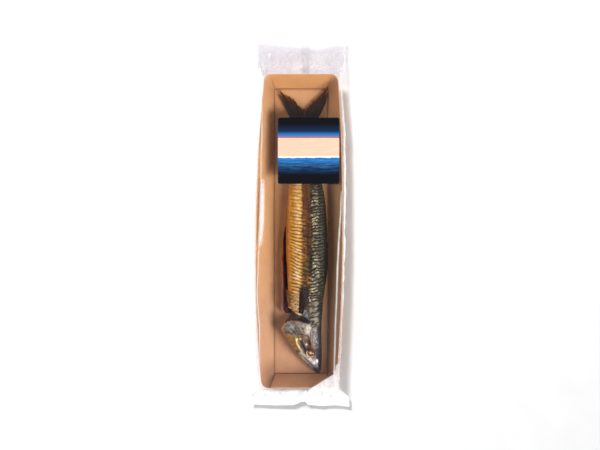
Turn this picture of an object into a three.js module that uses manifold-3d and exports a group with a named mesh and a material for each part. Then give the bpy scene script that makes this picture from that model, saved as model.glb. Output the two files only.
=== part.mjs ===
// A whole smoked mackerel, lying on its side in a folded kraft-board tray, wrapped in a clear film
// sleeve that is sealed at both ends and carries a plain label on top.
//
// Millimetres, +Z up. The pack lies flat as on a table: its length runs along Y, with the
// tail towards +Y and the head towards -Y, and the fish's back is towards +X. Everything is laid out
// around the centre of the tray, and the finished pack is then moved so that the origin is under the
// middle of its bounding box.

import * as THREE from "three";
import { mergeVertices } from "three/addons/utils/BufferGeometryUtils.js";
import Module from "manifold-3d";

const wasm = await Module();
wasm.setup();

// ---------------------------------------------------------------------------------------------
// Driving dimensions

const CLEARANCE = 0.3; // between two pieces that touch
const FILM = 0.3; // wall of the film sleeve
const BOARD = 0.6; // thickness of the tray's board

const TRAY = {
  floorZ: FILM + CLEARANCE, // underside of the tray
  height: 31,
  baseHalfLength: 163,
  baseHalfWidth: 31.2,
  endLean: 13, // how far each end wall's rim stands outside the base
  sideLean: 10.6, // the same for a side wall at its ends
  baseCorner: 1.2,
  rimCorner: 9,
  bellyLeft: { by: 9, at: -30, towardsHead: 165, towardsTail: 193 }, // the side walls belly out,
  bellyRight: { by: 5, at: 10, towardsHead: 155, towardsTail: 160 }, // the -X wall more
  bellyCurve: 2.2, // how flat the belly's middle is
};
const RIM_Z = TRAY.floorZ + TRAY.height;
const TRAY_FLOOR = TRAY.floorZ + BOARD; // what the fish lies on

const FISH_REST = TRAY_FLOOR + CLEARANCE; // height of the flattened flank the fish lies on
const FIN = 1.2; // thickness of the fins

// The sleeve's cross-sections, from the head end to the tail end. For each place along Y:
// x of the base corner, of the slack side and of the rim on the -X side, the same from the rim
// outwards to the base on the +X side, then z of the bottom, of the side, of the rim and of the crown.
const SLEEVE = [
  [-188.5, -55.6, -56.0, -55.6, 54.0, 54.4, 54.0, 8.2, 8.6, 9.0, 9.0],
  [-183, -47, -52.0, -50.0, 48.5, 50.5, 46.0, 5.6, 14.0, 19.0, 20.5],
  [-178.5, -38, -49.2, -46.0, 44.5, 47.6, 38.0, 2.6, 17.0, 30.0, 31.6],
  [-172, -34, -50.0, -46.4, 43.6, 45.8, 34.5, 0.0, 18.0, 33.2, 34.0],
  [-160, -33.6, -50.6, -47.2, 43.4, 44.8, 33.8, 0.0, 18.0, 33.4, 34.2],
  [-134, -33.6, -51.6, -48.8, 44.2, 46.0, 33.8, 0.0, 19.0, 33.4, 35.2],
  [-105, -33.6, -52.6, -50.4, 45.6, 47.4, 33.8, 0.0, 20.0, 33.4, 39.0],
  [-70, -33.6, -53.2, -51.6, 46.8, 48.8, 33.8, 0.0, 20.0, 33.4, 42.6],
  [-30, -33.6, -53.4, -52.0, 47.6, 50.2, 33.8, 0.0, 20.0, 33.4, 44.2],
  [7, -33.6, -53.4, -51.8, 48.0, 51.4, 33.8, 0.0, 20.0, 33.4, 44.2],
  [30, -33.6, -53.2, -51.3, 48.0, 51.8, 33.8, 0.0, 20.0, 33.4, 42.4],
  [50, -33.6, -52.9, -50.7, 47.8, 52.0, 33.8, 0.0, 20.0, 33.4, 38.6],
  [66, -33.6, -52.4, -50.1, 47.5, 52.0, 33.8, 0.0, 20.0, 33.4, 36.0],
  [84, -33.6, -51.8, -49.2, 47.1, 52.0, 33.8, 0.0, 20.0, 33.4, 34.6],
  [105, -33.6, -50.8, -47.9, 46.5, 51.8, 33.8, 0.0, 20.0, 33.4, 34.4],
  [128, -33.6, -49.8, -46.2, 45.5, 50.4, 33.8, 0.0, 19.0, 33.4, 34.3],
  [150, -33.6, -48.8, -44.5, 44.4, 48.4, 33.8, 0.0, 18.0, 33.4, 34.2],
  [171, -34.5, -47.6, -43.4, 43.0, 47.6, 34.5, 0.0, 17.0, 33.4, 34.0],
  [179, -38, -47.4, -44.2, 43.2, 49.4, 38.0, 1.6, 17.0, 30.2, 31.4],
  [187, -44, -48.4, -47.0, 46.0, 50.0, 44.0, 4.4, 13.0, 20.6, 21.6],
  [196, -49.4, -50.8, -50.0, 48.0, 49.4, 47.6, 6.8, 10.6, 13.2, 13.6],
  [203, -51.0, -51.4, -51.0, 50.6, 51.0, 50.6, 8.6, 9.0, 9.4, 9.4],
];
const SEAL = { thickness: FILM * 2 + 0.2, root: 1.2 }; // the two layers, fused, and their overlap
// Plan outlines of the end seals beyond the last cross-sections: x, y along the free edge.
const HEAD_SEAL_EDGE = [[-56.8, -196.6], [-30, -198.0], [-9, -197.6], [3.4, -192.6], [8, -197.4],
  [24, -198.6], [40, -197.8], [55.4, -199.6]];
const TAIL_SEAL_EDGE = [[-51.8, 212.0], [-30, 210.6], [-10, 208.8], [6, 207.0], [12, 206.4],
  [21, 211.0], [36, 213.2], [55.4, 213.4]];
const SEAM = 0.4; // slit along the underside, where the two long edges of the film meet

const LABEL = { x: 8.4, y: 90, width: 68.6, length: 74, corner: 2, thickness: 0.25 };

// ---------------------------------------------------------------------------------------------
// Small helpers

const ALONG_X = new THREE.Vector3(1, 0, 0);
const ALONG_Y = new THREE.Vector3(0, 1, 0);

const smooth = (t) => t * t * (3 - 2 * t);
const clamp = (t, low = 0, high = 1) => Math.min(high, Math.max(low, t));
const bump = (y, at, over) => {
  const t = clamp(Math.abs(y - at) / over);
  return 1 - smooth(t);
};

// A smooth curve through rows of numbers: row[0] is where, and the result has the other columns.
// It stays level where two rows in turn are level, and turns only at a row.
function through(rows) {
  const rise = (i, c) => (rows[i + 1][c] - rows[i][c]) / (rows[i + 1][0] - rows[i][0]);
  const slope = (i, c) => {
    const before = rise(Math.max(0, i - 1), c);
    const after = rise(Math.min(rows.length - 2, i), c);
    return before * after > 0 ? (2 * before * after) / (before + after) : 0;
  };
  return (where) => {
    let i = 0;
    while (i < rows.length - 2 && where > rows[i + 1][0]) i++;
    const [a, b] = [rows[i], rows[i + 1]];
    const span = b[0] - a[0];
    const t = clamp((where - a[0]) / span);
    return a.slice(1).map((_, k) => {
      const c = k + 1;
      const [m0, m1] = [slope(i, c) * span, slope(i + 1, c) * span];
      const [t2, t3] = [t * t, t * t * t];
      return (2 * t3 - 3 * t2 + 1) * a[c] + (t3 - 2 * t2 + t) * m0
        + (3 * t2 - 2 * t3) * b[c] + (t3 - t2) * m1;
    });
  };
}

// Indexed geometry from points and triangles.
function geometryOf(points, triangles) {
  const flat = points.flatMap((p) => [p.x, p.y, p.z]);
  return new THREE.BufferGeometry()
    .setAttribute("position", new THREE.Float32BufferAttribute(flat, 3))
    .setIndex(triangles);
}

// A closed skin over rings with equal numbers of points, with a fan over the first and last ring.
// Seen from outside the piece, the first ring turns counter-clockwise.
function skinOver(rings) {
  const n = rings[0].length;
  const points = rings.flat();
  const triangles = [];
  for (let r = 0; r + 1 < rings.length; r++)
    for (let i = 0; i < n; i++) {
      const j = (i + 1) % n;
      const [a, b, c, d] = [r * n + i, r * n + j, (r + 1) * n + i, (r + 1) * n + j];
      triangles.push(a, c, b, b, c, d);
    }
  const fan = (ring, first, flip) => {
    const centre = ring.reduce((s, p) => s.add(p), new THREE.Vector3()).divideScalar(n);
    const at = points.push(centre) - 1;
    for (let i = 0; i < n; i++) {
      const [a, b] = [first + i, first + ((i + 1) % n)];
      triangles.push(at, flip ? b : a, flip ? a : b);
    }
  };
  fan(rings[0], 0, false);
  fan(rings.at(-1), (rings.length - 1) * n, true);
  return geometryOf(points, triangles);
}

// Three.js geometry to a manifold-3d solid and back, for cuts and joins.
function solidOf(geometry) {
  const bare = geometry.clone();
  bare.deleteAttribute("normal");
  bare.deleteAttribute("uv");
  const merged = mergeVertices(bare, 1e-4);
  return new wasm.Manifold(new wasm.Mesh({
    numProp: 3,
    vertProperties: merged.attributes.position.array,
    triVerts: new Uint32Array(merged.index.array),
  }));
}

function geometryFrom(solid) {
  const mesh = solid.getMesh();
  return new THREE.BufferGeometry()
    .setAttribute("position", new THREE.BufferAttribute(mesh.vertProperties, 3))
    .setIndex(new THREE.BufferAttribute(mesh.triVerts, 1));
}

// A plate of the given outline: u and v are the outline's axes in the pack, and the plate is
// centred on their plane.
function plate(outline, thickness, origin, u, v, curved = true) {
  const points = outline.map(([a, b]) => new THREE.Vector2(a, b));
  const shape = new THREE.Shape(
    curved ? new THREE.SplineCurve([...points, points[0]]).getPoints(points.length * 3) : points);
  const geometry = new THREE.ExtrudeGeometry(shape, { depth: thickness, bevelEnabled: false });
  geometry.translate(0, 0, -thickness / 2);
  const along = u.clone().normalize();
  const out = v.clone().normalize();
  const across = new THREE.Vector3().crossVectors(along, out);
  geometry.applyMatrix4(new THREE.Matrix4().makeBasis(along, out, across));
  geometry.translate(origin.x, origin.y, origin.z);
  return solidOf(geometry);
}

// ---------------------------------------------------------------------------------------------
// Tray: one blank of board, folded up on four sides; the end walls are glued inside the corners

// Half widths of the tray's plan at a height, from 0 at the fold to 1 at the rim.
function trayHalfWidth(y, side, up) {
  const { by, at, towardsHead, towardsTail } = side < 0 ? TRAY.bellyLeft : TRAY.bellyRight;
  const t = clamp(Math.abs(y - at) / (y < at ? towardsHead : towardsTail));
  return TRAY.baseHalfWidth + up * (TRAY.sideLean + by * (1 - t ** TRAY.bellyCurve));
}

// One loop round the tray at a height, inset by the board's thickness for the inner face.
function trayLoop(up, inset, z) {
  const halfLength = TRAY.baseHalfLength + up * TRAY.endLean - inset;
  const corner = TRAY.baseCorner + up * (TRAY.rimCorner - TRAY.baseCorner);
  const halfWidth = (y, side) => trayHalfWidth(y, side, up) - inset;
  const loop = [];
  const cornerSteps = 6;
  const sideSteps = 18;
  const endSteps = 3;
  for (const [side, end] of [[1, -1], [1, 1], [-1, 1], [-1, -1]]) {
    const width = halfWidth(end * (halfLength - corner), side) - corner;
    for (let i = 0; i <= cornerSteps; i++) {
      // Each corner turns a quarter, and every second corner is walked the other way round.
      const turn = (side * end > 0 ? i : cornerSteps - i) / cornerSteps * Math.PI / 2;
      loop.push(new THREE.Vector3(
        side * (width + corner * Math.cos(turn)),
        end * (halfLength - corner + corner * Math.sin(turn)), z));
    }
    const alongSide = side * end < 0;
    const steps = alongSide ? sideSteps : endSteps;
    for (let i = 1; i < steps; i++) {
      const t = i / steps;
      if (alongSide) {
        const y = end * (halfLength - corner) * (1 - 2 * t);
        loop.push(new THREE.Vector3(side * halfWidth(y, side), y, z));
      } else {
        const next = halfWidth(end * (halfLength - corner), -side) - corner;
        loop.push(new THREE.Vector3(side * (width * (1 - t) - next * t), end * halfLength, z));
      }
    }
  }
  return loop;
}

// An end wall's second layer: a trapezoid of board that stands on the base's end fold.
function endWall(end) {
  const lift = BOARD * 1.5; // starts inside the board of the base, so that they join
  const slant = Math.hypot(TRAY.height - lift, TRAY.endLean);
  const up = new THREE.Vector3(0, end * TRAY.endLean, TRAY.height - lift).normalize();
  const across = new THREE.Vector3(end, 0, 0);
  const foot = new THREE.Vector3(0, end * (TRAY.baseHalfLength - BOARD * 1.2), TRAY.floorZ + BOARD / 2);
  const [low, high] = [TRAY.baseHalfWidth - 2, TRAY.baseHalfWidth + 3.6];
  const outline = [[-low, 0], [low, 0], [high, slant - 0.8], [-high, slant - 0.8]];
  return plate(outline, BOARD, foot, across, up, false);
}

function trayGeometry() {
  const shell = solidOf(skinOver([
    trayLoop(0, BOARD, TRAY.floorZ + BOARD),
    trayLoop(1, BOARD, RIM_Z),
    trayLoop(1, 0, RIM_Z),
    trayLoop(0, 0, TRAY.floorZ),
  ]));
  return geometryFrom(shell.add(endWall(1)).add(endWall(-1)));
}

// ---------------------------------------------------------------------------------------------
// Mackerel: one body with its fins, gutted, with the gill slit open

// Along Y: x of the belly edge and of the back edge as seen from above, z of the middle, half the
// thickness, and how many degrees the back is rolled upwards.
const BODY = [
  [-160.4, 16.8, 21.4, 12.0, 1.8, 0],
  [-156.5, 12.8, 22.7, 12.6, 4.4, 0],
  [-148, 3.4, 23.2, 13.4, 7.8, 2],
  [-139.6, -4.6, 23.3, 14.4, 10.6, 3],
  [-128, -12.2, 23.2, 15.4, 12.8, 4],
  [-117, -19.2, 23.0, 16.2, 14.6, 5],
  [-109, -23.0, 23.1, 16.8, 15.4, 6],
  [-102.5, -21.6, 23.2, 16.9, 15.6, 7],
  [-94.5, -16.4, 23.7, 17.0, 15.8, 8],
  [-83, -14.6, 24.6, 17.6, 16.4, 10],
  [-72, -14.6, 26.0, 18.2, 17.0, 12],
  [-49, -15.6, 28.2, 18.9, 17.8, 14],
  [-27, -16.8, 29.5, 19.2, 18.2, 15],
  [-10, -17.1, 29.7, 19.2, 18.2, 15],
  [7, -16.8, 29.3, 19.0, 18.0, 15],
  [24, -15.8, 28.2, 18.5, 17.4, 14],
  [46.5, -14.0, 25.4, 17.0, 15.8, 12],
  [63, -9.8, 21.0, 15.0, 13.0, 10],
  [80, -5.0, 15.8, 12.6, 9.6, 7],
  [94, -1.2, 11.8, 10.8, 6.6, 4],
  [105, 0.4, 9.8, 9.6, 4.4, 2],
  [114, 1.2, 9.2, 9.0, 2.6, 0],
  [121, 2.6, 7.8, 8.6, 0.9, 0],
];
const SLIT = { from: -92, to: 26, depth: 0.34, width: 0.2 }; // the gutting cut along the belly

const bodyAt = through(BODY);

// Where the body's middle is at a place along Y, with its dorsal and lateral axes and half sizes.
function bodyFrame(y) {
  const [belly, back, z, half, rollDegrees] = bodyAt(y);
  const roll = THREE.MathUtils.degToRad(rollDegrees);
  const seen = (back - belly) / 2;
  const tilt = half * Math.sin(roll);
  return {
    centre: new THREE.Vector3((belly + back) / 2, y, z),
    dorsal: new THREE.Vector3(Math.cos(roll), 0, Math.sin(roll)),
    lateral: new THREE.Vector3(-Math.sin(roll), 0, Math.cos(roll)),
    height: Math.sqrt(Math.max(seen * seen - tilt * tilt, 0.01)) / Math.cos(roll),
    half,
  };
}

// One cross-section. Angle 0 is the back, a quarter turn the upper flank, half a turn the belly.
function bodyRing(y, count = 36) {
  const { centre, dorsal, lateral, height, half } = bodyFrame(y);
  const cut = SLIT.depth * bump(y, (SLIT.from + SLIT.to) / 2, (SLIT.to - SLIT.from) / 2);
  const ring = [];
  for (let i = 0; i < count; i++) {
    const angle = (i / count) * 2 * Math.PI;
    const fromBelly = Math.abs(angle - Math.PI);
    const inwards = 1 - cut * Math.max(0, 1 - fromBelly / SLIT.width);
    const p = centre.clone()
      .addScaledVector(dorsal, height * inwards * Math.cos(angle))
      .addScaledVector(lateral, half * Math.sin(angle));
    p.z = Math.max(p.z, FISH_REST);
    ring.push(p);
  }
  return ring;
}

// A fin that stands in the body's middle plane, on the back (side 1) or the belly (side -1).
// The outline's u runs towards the tail and its v away from the body, from its middle line.
function medianFin(y, side, outline) {
  const { centre, dorsal, height } = bodyFrame(y);
  const out = dorsal.clone().multiplyScalar(side);
  const root = centre.clone().addScaledVector(out, height);
  return plate(outline, FIN, root, ALONG_Y, out);
}

// The row of little fins between the second dorsal or anal fin and the tail.
function finlets(side) {
  const outline = [[-2.4, -1.6], [2.2, -1.2], [4.2, 2.2], [0.4, 1.4]];
  return [74, 80.5, 87, 93, 98.5].map((y) => medianFin(y, side, outline));
}

function tailFin() {
  const outline = [[9.4, 106], [14.0, 117], [17.6, 124], [23.0, 134.8], [28.7, 146.2], [30.6, 156],
    [30.1, 162.4], [25.2, 158.9], [15.9, 149.6], [8.4, 142.0], [3.4, 138.2], [-1.1, 141.6], [-8.7, 150.1],
    [-15.0, 154.6], [-23.0, 158.8], [-23.4, 152.4], [-18.9, 141.6], [-13.8, 130.8], [-7.2, 119], [0.8, 106]];
  const droop = THREE.MathUtils.degToRad(-3.2);
  const away = new THREE.Vector3(0, Math.cos(droop), Math.sin(droop));
  const root = new THREE.Vector3(0, 106, 9.4);
  return plate(outline.map(([x, y]) => [x, y - 106]), FIN, root, ALONG_X, away);
}

// The pectoral fin, folded back against the upper flank, and the pelvic fin below it.
function pectoralFin() {
  const outline = [[0, 0], [5.4, 1.6], [6.2, 8], [3.2, 22], [0.4, 33], [-2.2, 22], [-2.6, 8]];
  const root = new THREE.Vector3(0.8, -94, 31.6);
  return plate(outline, FIN, root, new THREE.Vector3(1, 0, 0.12), new THREE.Vector3(0, 1, 0.06));
}

function pelvicFin() {
  const outline = [[-2, 0], [2, -1], [3.4, 8], [1, 21], [-1.6, 17]];
  const root = new THREE.Vector3(-13.6, -84, 22.5);
  return plate(outline, FIN, root, new THREE.Vector3(0.5, 0, 0.87), new THREE.Vector3(-0.06, 1, 0));
}

// The lower wall of the cut belly, which stands out beyond the upper flank.
function bellyFlap() {
  const outline = [[-8, -90], [-17, -91], [-22.4, -86], [-22.8, -66], [-22.2, -30], [-21.4, -10],
    [-17.6, 4], [-8, 8]];
  const root = new THREE.Vector3(0, 0, 6);
  return plate(outline, FIN, root, new THREE.Vector3(1, 0, -0.34), ALONG_Y);
}

// The wedge between the gill cover and the shoulder, open on the upper flank.
function gillSlit() {
  const outline = [[11.4, -103.2], [5, -98.6], [-1, -94.2], [-14, -82.6], [-34, -76], [-34, -103.6]];
  const [floor, ceiling] = [9, 46];
  const centre = new THREE.Vector3(0, 0, (floor + ceiling) / 2);
  return plate(outline, ceiling - floor, centre, ALONG_X, ALONG_Y, false);
}

// The line between the jaws, open from flank to flank.
function mouth() {
  const outline = [[19.6, -162], [17.8, -162], [8.4, -147.4], [9.2, -146.8]];
  return plate(outline, 60, new THREE.Vector3(0, 0, 30), ALONG_X, ALONG_Y, false);
}

function eye() {
  const ball = new THREE.SphereGeometry(4.6, 16, 10);
  ball.translate(12, -137, 22.2);
  return solidOf(ball);
}

function mackerelGeometry() {
  const first = BODY[0][0];
  const last = BODY.at(-1)[0];
  const places = [];
  for (let y = first; y < last; y += y < -130 ? 4 : 6.5) places.push(y);
  places.push(last);
  let fish = solidOf(skinOver(places.map((y) => bodyRing(y))));
  const fins = [
    tailFin(),
    pectoralFin(),
    pelvicFin(),
    medianFin(-60, 1, [[0, -2], [6, 1.6], [24, 2.0], [44, 0.6], [46, -3], [20, -3]]),
    medianFin(54, 1, [[-3, -2], [4, 3.4], [8, 4.8], [11, 1.4], [18, -1.8], [17, -6], [7, -4]]),
    medianFin(56, -1, [[-3, -2], [4, 3.4], [8, 4.8], [11, 1.4], [18, -1.8], [17, -6], [7, -4]]),
    ...finlets(1),
    ...finlets(-1),
    eye(),
  ];
  for (const fin of fins) fish = fish.add(fin);
  fish = fish.subtract(gillSlit()).subtract(mouth()).add(bellyFlap());
  const pieces = fish.decompose().sort((a, b) => b.volume() - a.volume());
  return geometryFrom(pieces[0]);
}

// ---------------------------------------------------------------------------------------------
// Film sleeve: one web of film round the tray, its long edges meeting underneath

const sleeveAt = through(SLEEVE);

// The corners of a cross-section, from the slit underneath round by +X, over the top, to -X.
function sleeveCorners(y) {
  const [baseL, sideL, rimL, rimR, sideR, baseR, bottom, sideZ, rimZ, crown] = sleeveAt(y);
  const middle = (rimL + rimR) / 2;
  return [[SEAM / 2, bottom], [baseR, bottom], [sideR, sideZ], [rimR, rimZ], [middle, crown],
    [rimL, rimZ], [sideL, sideZ], [baseL, bottom], [-SEAM / 2, bottom]]
    .map(([x, z]) => new THREE.Vector2(x, z));
}

// The outer line of a cross-section: the corners rounded off, always with the same points.
function sleeveLine(y) {
  const corners = sleeveCorners(y);
  const crownAt = (corners.length - 1) / 2;
  const line = [corners[0]];
  for (let k = 1; k + 1 < corners.length; k++) {
    const [before, at, after] = [corners[k - 1], corners[k], corners[k + 1]];
    const crown = k === crownAt;
    const reach = (other) => Math.min(crown ? 30 : 3, at.distanceTo(other) * (crown ? 0.75 : 0.22));
    const start = at.clone().lerp(before, reach(before) / at.distanceTo(before));
    const end = at.clone().lerp(after, reach(after) / at.distanceTo(after));
    const steps = crown ? 8 : 2;
    for (let i = 0; i <= steps; i++) {
      const t = i / steps;
      const [p, q] = [start.clone().lerp(at, t), at.clone().lerp(end, t)];
      line.push(p.lerp(q, t));
    }
  }
  line.push(corners.at(-1));
  return line;
}

// The same line moved inwards by the film's thickness.
function innerLine(line) {
  return line.map((p, i) => {
    const before = line[Math.max(0, i - 1)];
    const after = line[Math.min(line.length - 1, i + 1)];
    const along = after.clone().sub(before).normalize();
    return new THREE.Vector2(p.x - along.y * FILM, p.y + along.x * FILM);
  });
}

// A skin over C-shaped cross-sections, closed by the film's own thickness at both ends.
function tubeGeometry(places) {
  const points = [];
  const triangles = [];
  let n = 0;
  for (const y of places) {
    const outer = sleeveLine(y);
    const ring = [...outer, ...innerLine(outer).reverse()];
    n = ring.length;
    points.push(...ring.map((p) => new THREE.Vector3(p.x, y, p.y)));
  }
  for (let r = 0; r + 1 < places.length; r++)
    for (let i = 0; i < n; i++) {
      const j = (i + 1) % n;
      const [a, b, c, d] = [r * n + i, r * n + j, (r + 1) * n + i, (r + 1) * n + j];
      triangles.push(a, c, b, b, c, d);
    }
  const cap = (first, flip) => {
    for (let i = 0; i + 1 < n / 2; i++) {
      const [a, b, c, d] = [first + i, first + i + 1, first + n - 1 - i, first + n - 2 - i];
      triangles.push(...(flip ? [a, c, b, b, c, d] : [a, b, c, b, d, c]));
    }
  };
  cap(0, false);
  cap((places.length - 1) * n, true);
  return geometryOf(points, triangles);
}

// An end seal: the two layers fused into one flat strip with a wavy free edge.
function endSeal(row, edge, away) {
  const [y, , leftX, , , rightX, , bottom, , , crown] = row;
  const inner = y - away * SEAL.root;
  const outline = [[rightX - 0.3, inner], ...edge.slice().reverse(), [leftX + 0.3, inner]];
  const centre = new THREE.Vector3(0, 0, (bottom + crown) / 2);
  return plate(outline, SEAL.thickness, centre, ALONG_X, ALONG_Y, false);
}

function sleeveGeometry() {
  const ends = [SLEEVE[0], SLEEVE.at(-1)];
  const places = SLEEVE.flatMap((row, i) => {
    const next = SLEEVE[i + 1];
    return next ? [row[0], (row[0] + next[0]) / 2] : [row[0]];
  });
  const tube = solidOf(tubeGeometry(places));
  return geometryFrom(tube
    .add(endSeal(ends[0], HEAD_SEAL_EDGE, -1))
    .add(endSeal(ends[1], TAIL_SEAL_EDGE, 1)));
}

// Height of the sleeve's outer face above a point.
function sleeveTop(x, y) {
  const line = sleeveLine(y);
  let top = 0;
  for (let i = 0; i + 1 < line.length; i++) {
    const [a, b] = [line[i], line[i + 1]];
    if ((a.x - x) * (b.x - x) > 0 || a.x === b.x) continue;
    top = Math.max(top, a.y + ((b.y - a.y) * (x - a.x)) / (b.x - a.x));
  }
  return top;
}

// ---------------------------------------------------------------------------------------------
// Label: a rounded rectangle that lies on the sleeve and follows its crown

function labelGeometry() {
  const { x, y, width, length, corner, thickness } = LABEL;
  const loop = (scale, lift) => {
    const ring = [];
    const [halfX, halfY] = [(width / 2) * scale - corner, (length / 2) * scale - corner];
    for (const [sx, sy] of [[1, -1], [1, 1], [-1, 1], [-1, -1]]) {
      for (let i = 0; i <= 3; i++) {
        const turn = ((sx * sy > 0 ? i : 3 - i) / 3) * (Math.PI / 2);
        ring.push([sx * (halfX + corner * Math.cos(turn)), sy * (halfY + corner * Math.sin(turn))]);
      }
      const long = sx * sy < 0;
      for (let i = 1; i < 6; i++) {
        const t = 1 - (2 * i) / 6;
        ring.push(long ? [sx * (halfX + corner), sy * halfY * t] : [sx * halfX * t, sy * (halfY + corner)]);
      }
    }
    return ring.map(([dx, dy]) => {
      const top = sleeveTop(x + dx, y + dy) + CLEARANCE + 0.1;
      return new THREE.Vector3(x + dx, y + dy, top + lift);
    });
  };
  const scales = [0.35, 0.7, 1];
  return skinOver([
    ...scales.map((s) => loop(s, thickness)),
    ...scales.reverse().map((s) => loop(s, 0)),
  ]);
}

// ---------------------------------------------------------------------------------------------
// The pack

function piece(name, geometry, colour, roughness, extra = {}) {
  const mesh = new THREE.Mesh(
    geometry, new THREE.MeshStandardMaterial({ color: colour, roughness, metalness: 0, ...extra }));
  mesh.name = name;
  mesh.geometry.computeVertexNormals();
  return mesh;
}

const pack = new THREE.Group();
pack.add(
  piece("tray", trayGeometry(), 0xb98257, 0.85),
  piece("mackerel", mackerelGeometry(), 0x8a6224, 0.4),
  piece("film_sleeve", sleeveGeometry(), 0xf4f4f8, 0.1, { transparent: true, opacity: 0.3 }),
  piece("label", labelGeometry(), 0x1c2b44, 0.5),
);

const box = new THREE.Box3().setFromObject(pack);
const middle = box.getCenter(new THREE.Vector3());
pack.position.set(-middle.x, -middle.y, -box.min.z);

export default pack;
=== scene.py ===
"""Smoked mackerel in a kraft-board tray, in a clear film sleeve with a label.

The pack's own millimetres are used for every shape: the origin is under the middle of the tray, +Y
runs to the fish's tail, +X to its back, +Z up. place() moves them into the row frame, in metres.
"""

import math

import bpy
import numpy as np
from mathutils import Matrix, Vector


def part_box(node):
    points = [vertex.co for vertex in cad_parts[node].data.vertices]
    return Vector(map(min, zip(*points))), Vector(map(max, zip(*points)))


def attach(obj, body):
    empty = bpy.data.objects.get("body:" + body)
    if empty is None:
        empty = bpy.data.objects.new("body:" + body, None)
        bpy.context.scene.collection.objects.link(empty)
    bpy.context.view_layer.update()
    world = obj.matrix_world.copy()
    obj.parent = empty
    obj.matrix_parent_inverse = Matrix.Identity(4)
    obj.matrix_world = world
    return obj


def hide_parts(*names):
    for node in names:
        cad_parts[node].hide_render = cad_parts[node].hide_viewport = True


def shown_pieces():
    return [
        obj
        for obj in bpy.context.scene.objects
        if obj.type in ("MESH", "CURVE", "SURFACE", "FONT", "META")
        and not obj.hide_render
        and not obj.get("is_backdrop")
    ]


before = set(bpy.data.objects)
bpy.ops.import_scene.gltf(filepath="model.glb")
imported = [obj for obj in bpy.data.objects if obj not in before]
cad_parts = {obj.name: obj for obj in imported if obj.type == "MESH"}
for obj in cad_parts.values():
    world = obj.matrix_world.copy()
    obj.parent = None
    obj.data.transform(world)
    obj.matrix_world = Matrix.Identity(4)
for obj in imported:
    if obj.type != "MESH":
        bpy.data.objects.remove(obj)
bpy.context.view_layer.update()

# The tray's centre in the row frame, in millimetres.
TRAY_LOW, TRAY_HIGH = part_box("tray")
CENTRE = np.array([0.7, (TRAY_LOW.y + TRAY_HIGH.y) * 500, 0.0])


# ---------------------------------------------------------------- numbers and noise


def smooth(t):
    t = np.clip(t, 0.0, 1.0)
    return t * t * (3 - 2 * t)


def ramp(x, low, high):
    """0 below low, 1 above high, smooth between; high may be the smaller one."""
    return smooth((x - low) / (high - low))


def lattice(seed):
    return np.random.default_rng(seed).random((256, 256))


def noise(x, y, seed=0):
    """Smooth noise from -1 to 1, with a cell of one unit."""
    table = lattice(seed)
    ix, iy = np.floor(x).astype(int), np.floor(y).astype(int)
    fx, fy = smooth(x - ix), smooth(y - iy)
    a, b = table[ix % 256, iy % 256], table[(ix + 1) % 256, iy % 256]
    c, d = table[ix % 256, (iy + 1) % 256], table[(ix + 1) % 256, (iy + 1) % 256]
    return 2 * ((a * (1 - fx) + b * fx) * (1 - fy) + (c * (1 - fx) + d * fx) * fy) - 1


def fbm(x, y, seed=0, octaves=3):
    total, size = 0.0, 1.0
    for k in range(octaves):
        total = total + size * noise(x * 2**k + 17 * k, y * 2**k + 31 * k, seed + k)
        size *= 0.5
    return total / 1.75


def through(rows):
    """A smooth curve through rows of numbers, level where two rows in turn are level."""
    rows = np.array(rows, float)
    at, values = rows[:, 0], rows[:, 1:]
    rise = np.diff(values, axis=0) / np.diff(at)[:, None]
    before, after = np.vstack([rise[:1], rise]), np.vstack([rise, rise[-1:]])
    product = before * after
    with np.errstate(divide="ignore", invalid="ignore"):
        slope = np.where(product > 0, 2 * product / (before + after), 0.0)

    def curve(where):
        where = np.atleast_1d(np.asarray(where, float))
        i = np.clip(np.searchsorted(at, where, side="right") - 1, 0, len(at) - 2)
        span = (at[i + 1] - at[i])[:, None]
        t = np.clip((where - at[i]) / span[:, 0], 0, 1)[:, None]
        return (
            (2 * t**3 - 3 * t**2 + 1) * values[i]
            + (t**3 - 2 * t**2 + t) * span * slope[i]
            + (3 * t**2 - 2 * t**3) * values[i + 1]
            + (t**3 - t**2) * span * slope[i + 1]
        )

    return curve


def along_line(x, y, points):
    """Distance of each (x, y) to a line of points, and how far along it from 0 to 1."""
    points = np.array(points, float)
    lengths = np.hypot(*(points[1:] - points[:-1]).T)
    starts = np.concatenate([[0], np.cumsum(lengths)])
    best = np.full(np.shape(x), 1e9)
    share = np.zeros(np.shape(x))
    for k in range(len(points) - 1):
        (ax, ay), (bx, by) = points[k], points[k + 1]
        dx, dy = bx - ax, by - ay
        t = np.clip(((x - ax) * dx + (y - ay) * dy) / (dx * dx + dy * dy), 0, 1)
        gap = np.hypot(x - ax - t * dx, y - ay - t * dy)
        near = gap < best
        best = np.where(near, gap, best)
        share = np.where(near, (starts[k] + t * lengths[k]) / starts[-1], share)
    return best, share


def inside(x, y, outline, soft=0.6):
    """1 inside an outline and 0 outside, with an edge this soft."""
    px, py = np.array(outline, float).T
    within = np.zeros(np.shape(x), bool)
    for k in range(len(px)):
        x0, y0, x1, y1 = px[k - 1], py[k - 1], px[k], py[k]
        crosses = (y0 > y) != (y1 > y)
        with np.errstate(divide="ignore", invalid="ignore"):
            within ^= crosses & (x < (x1 - x0) * (y - y0) / (y1 - y0) + x0)
    gap = along_line(x, y, list(outline) + [outline[0]])[0]
    return ramp(np.where(within, gap, -gap), -soft, soft)


def blob(x, y, cx, cy, rx, ry, turn=0.0):
    """A soft round spot, 1 in the middle."""
    c, s = math.cos(math.radians(turn)), math.sin(math.radians(turn))
    u = ((x - cx) * c + (y - cy) * s) / rx
    v = (-(x - cx) * s + (y - cy) * c) / ry
    return np.exp(-(u * u + v * v))


def bell(t):
    """1 at 0, falling off evenly on both sides."""
    return np.exp(-(t**2))


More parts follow.
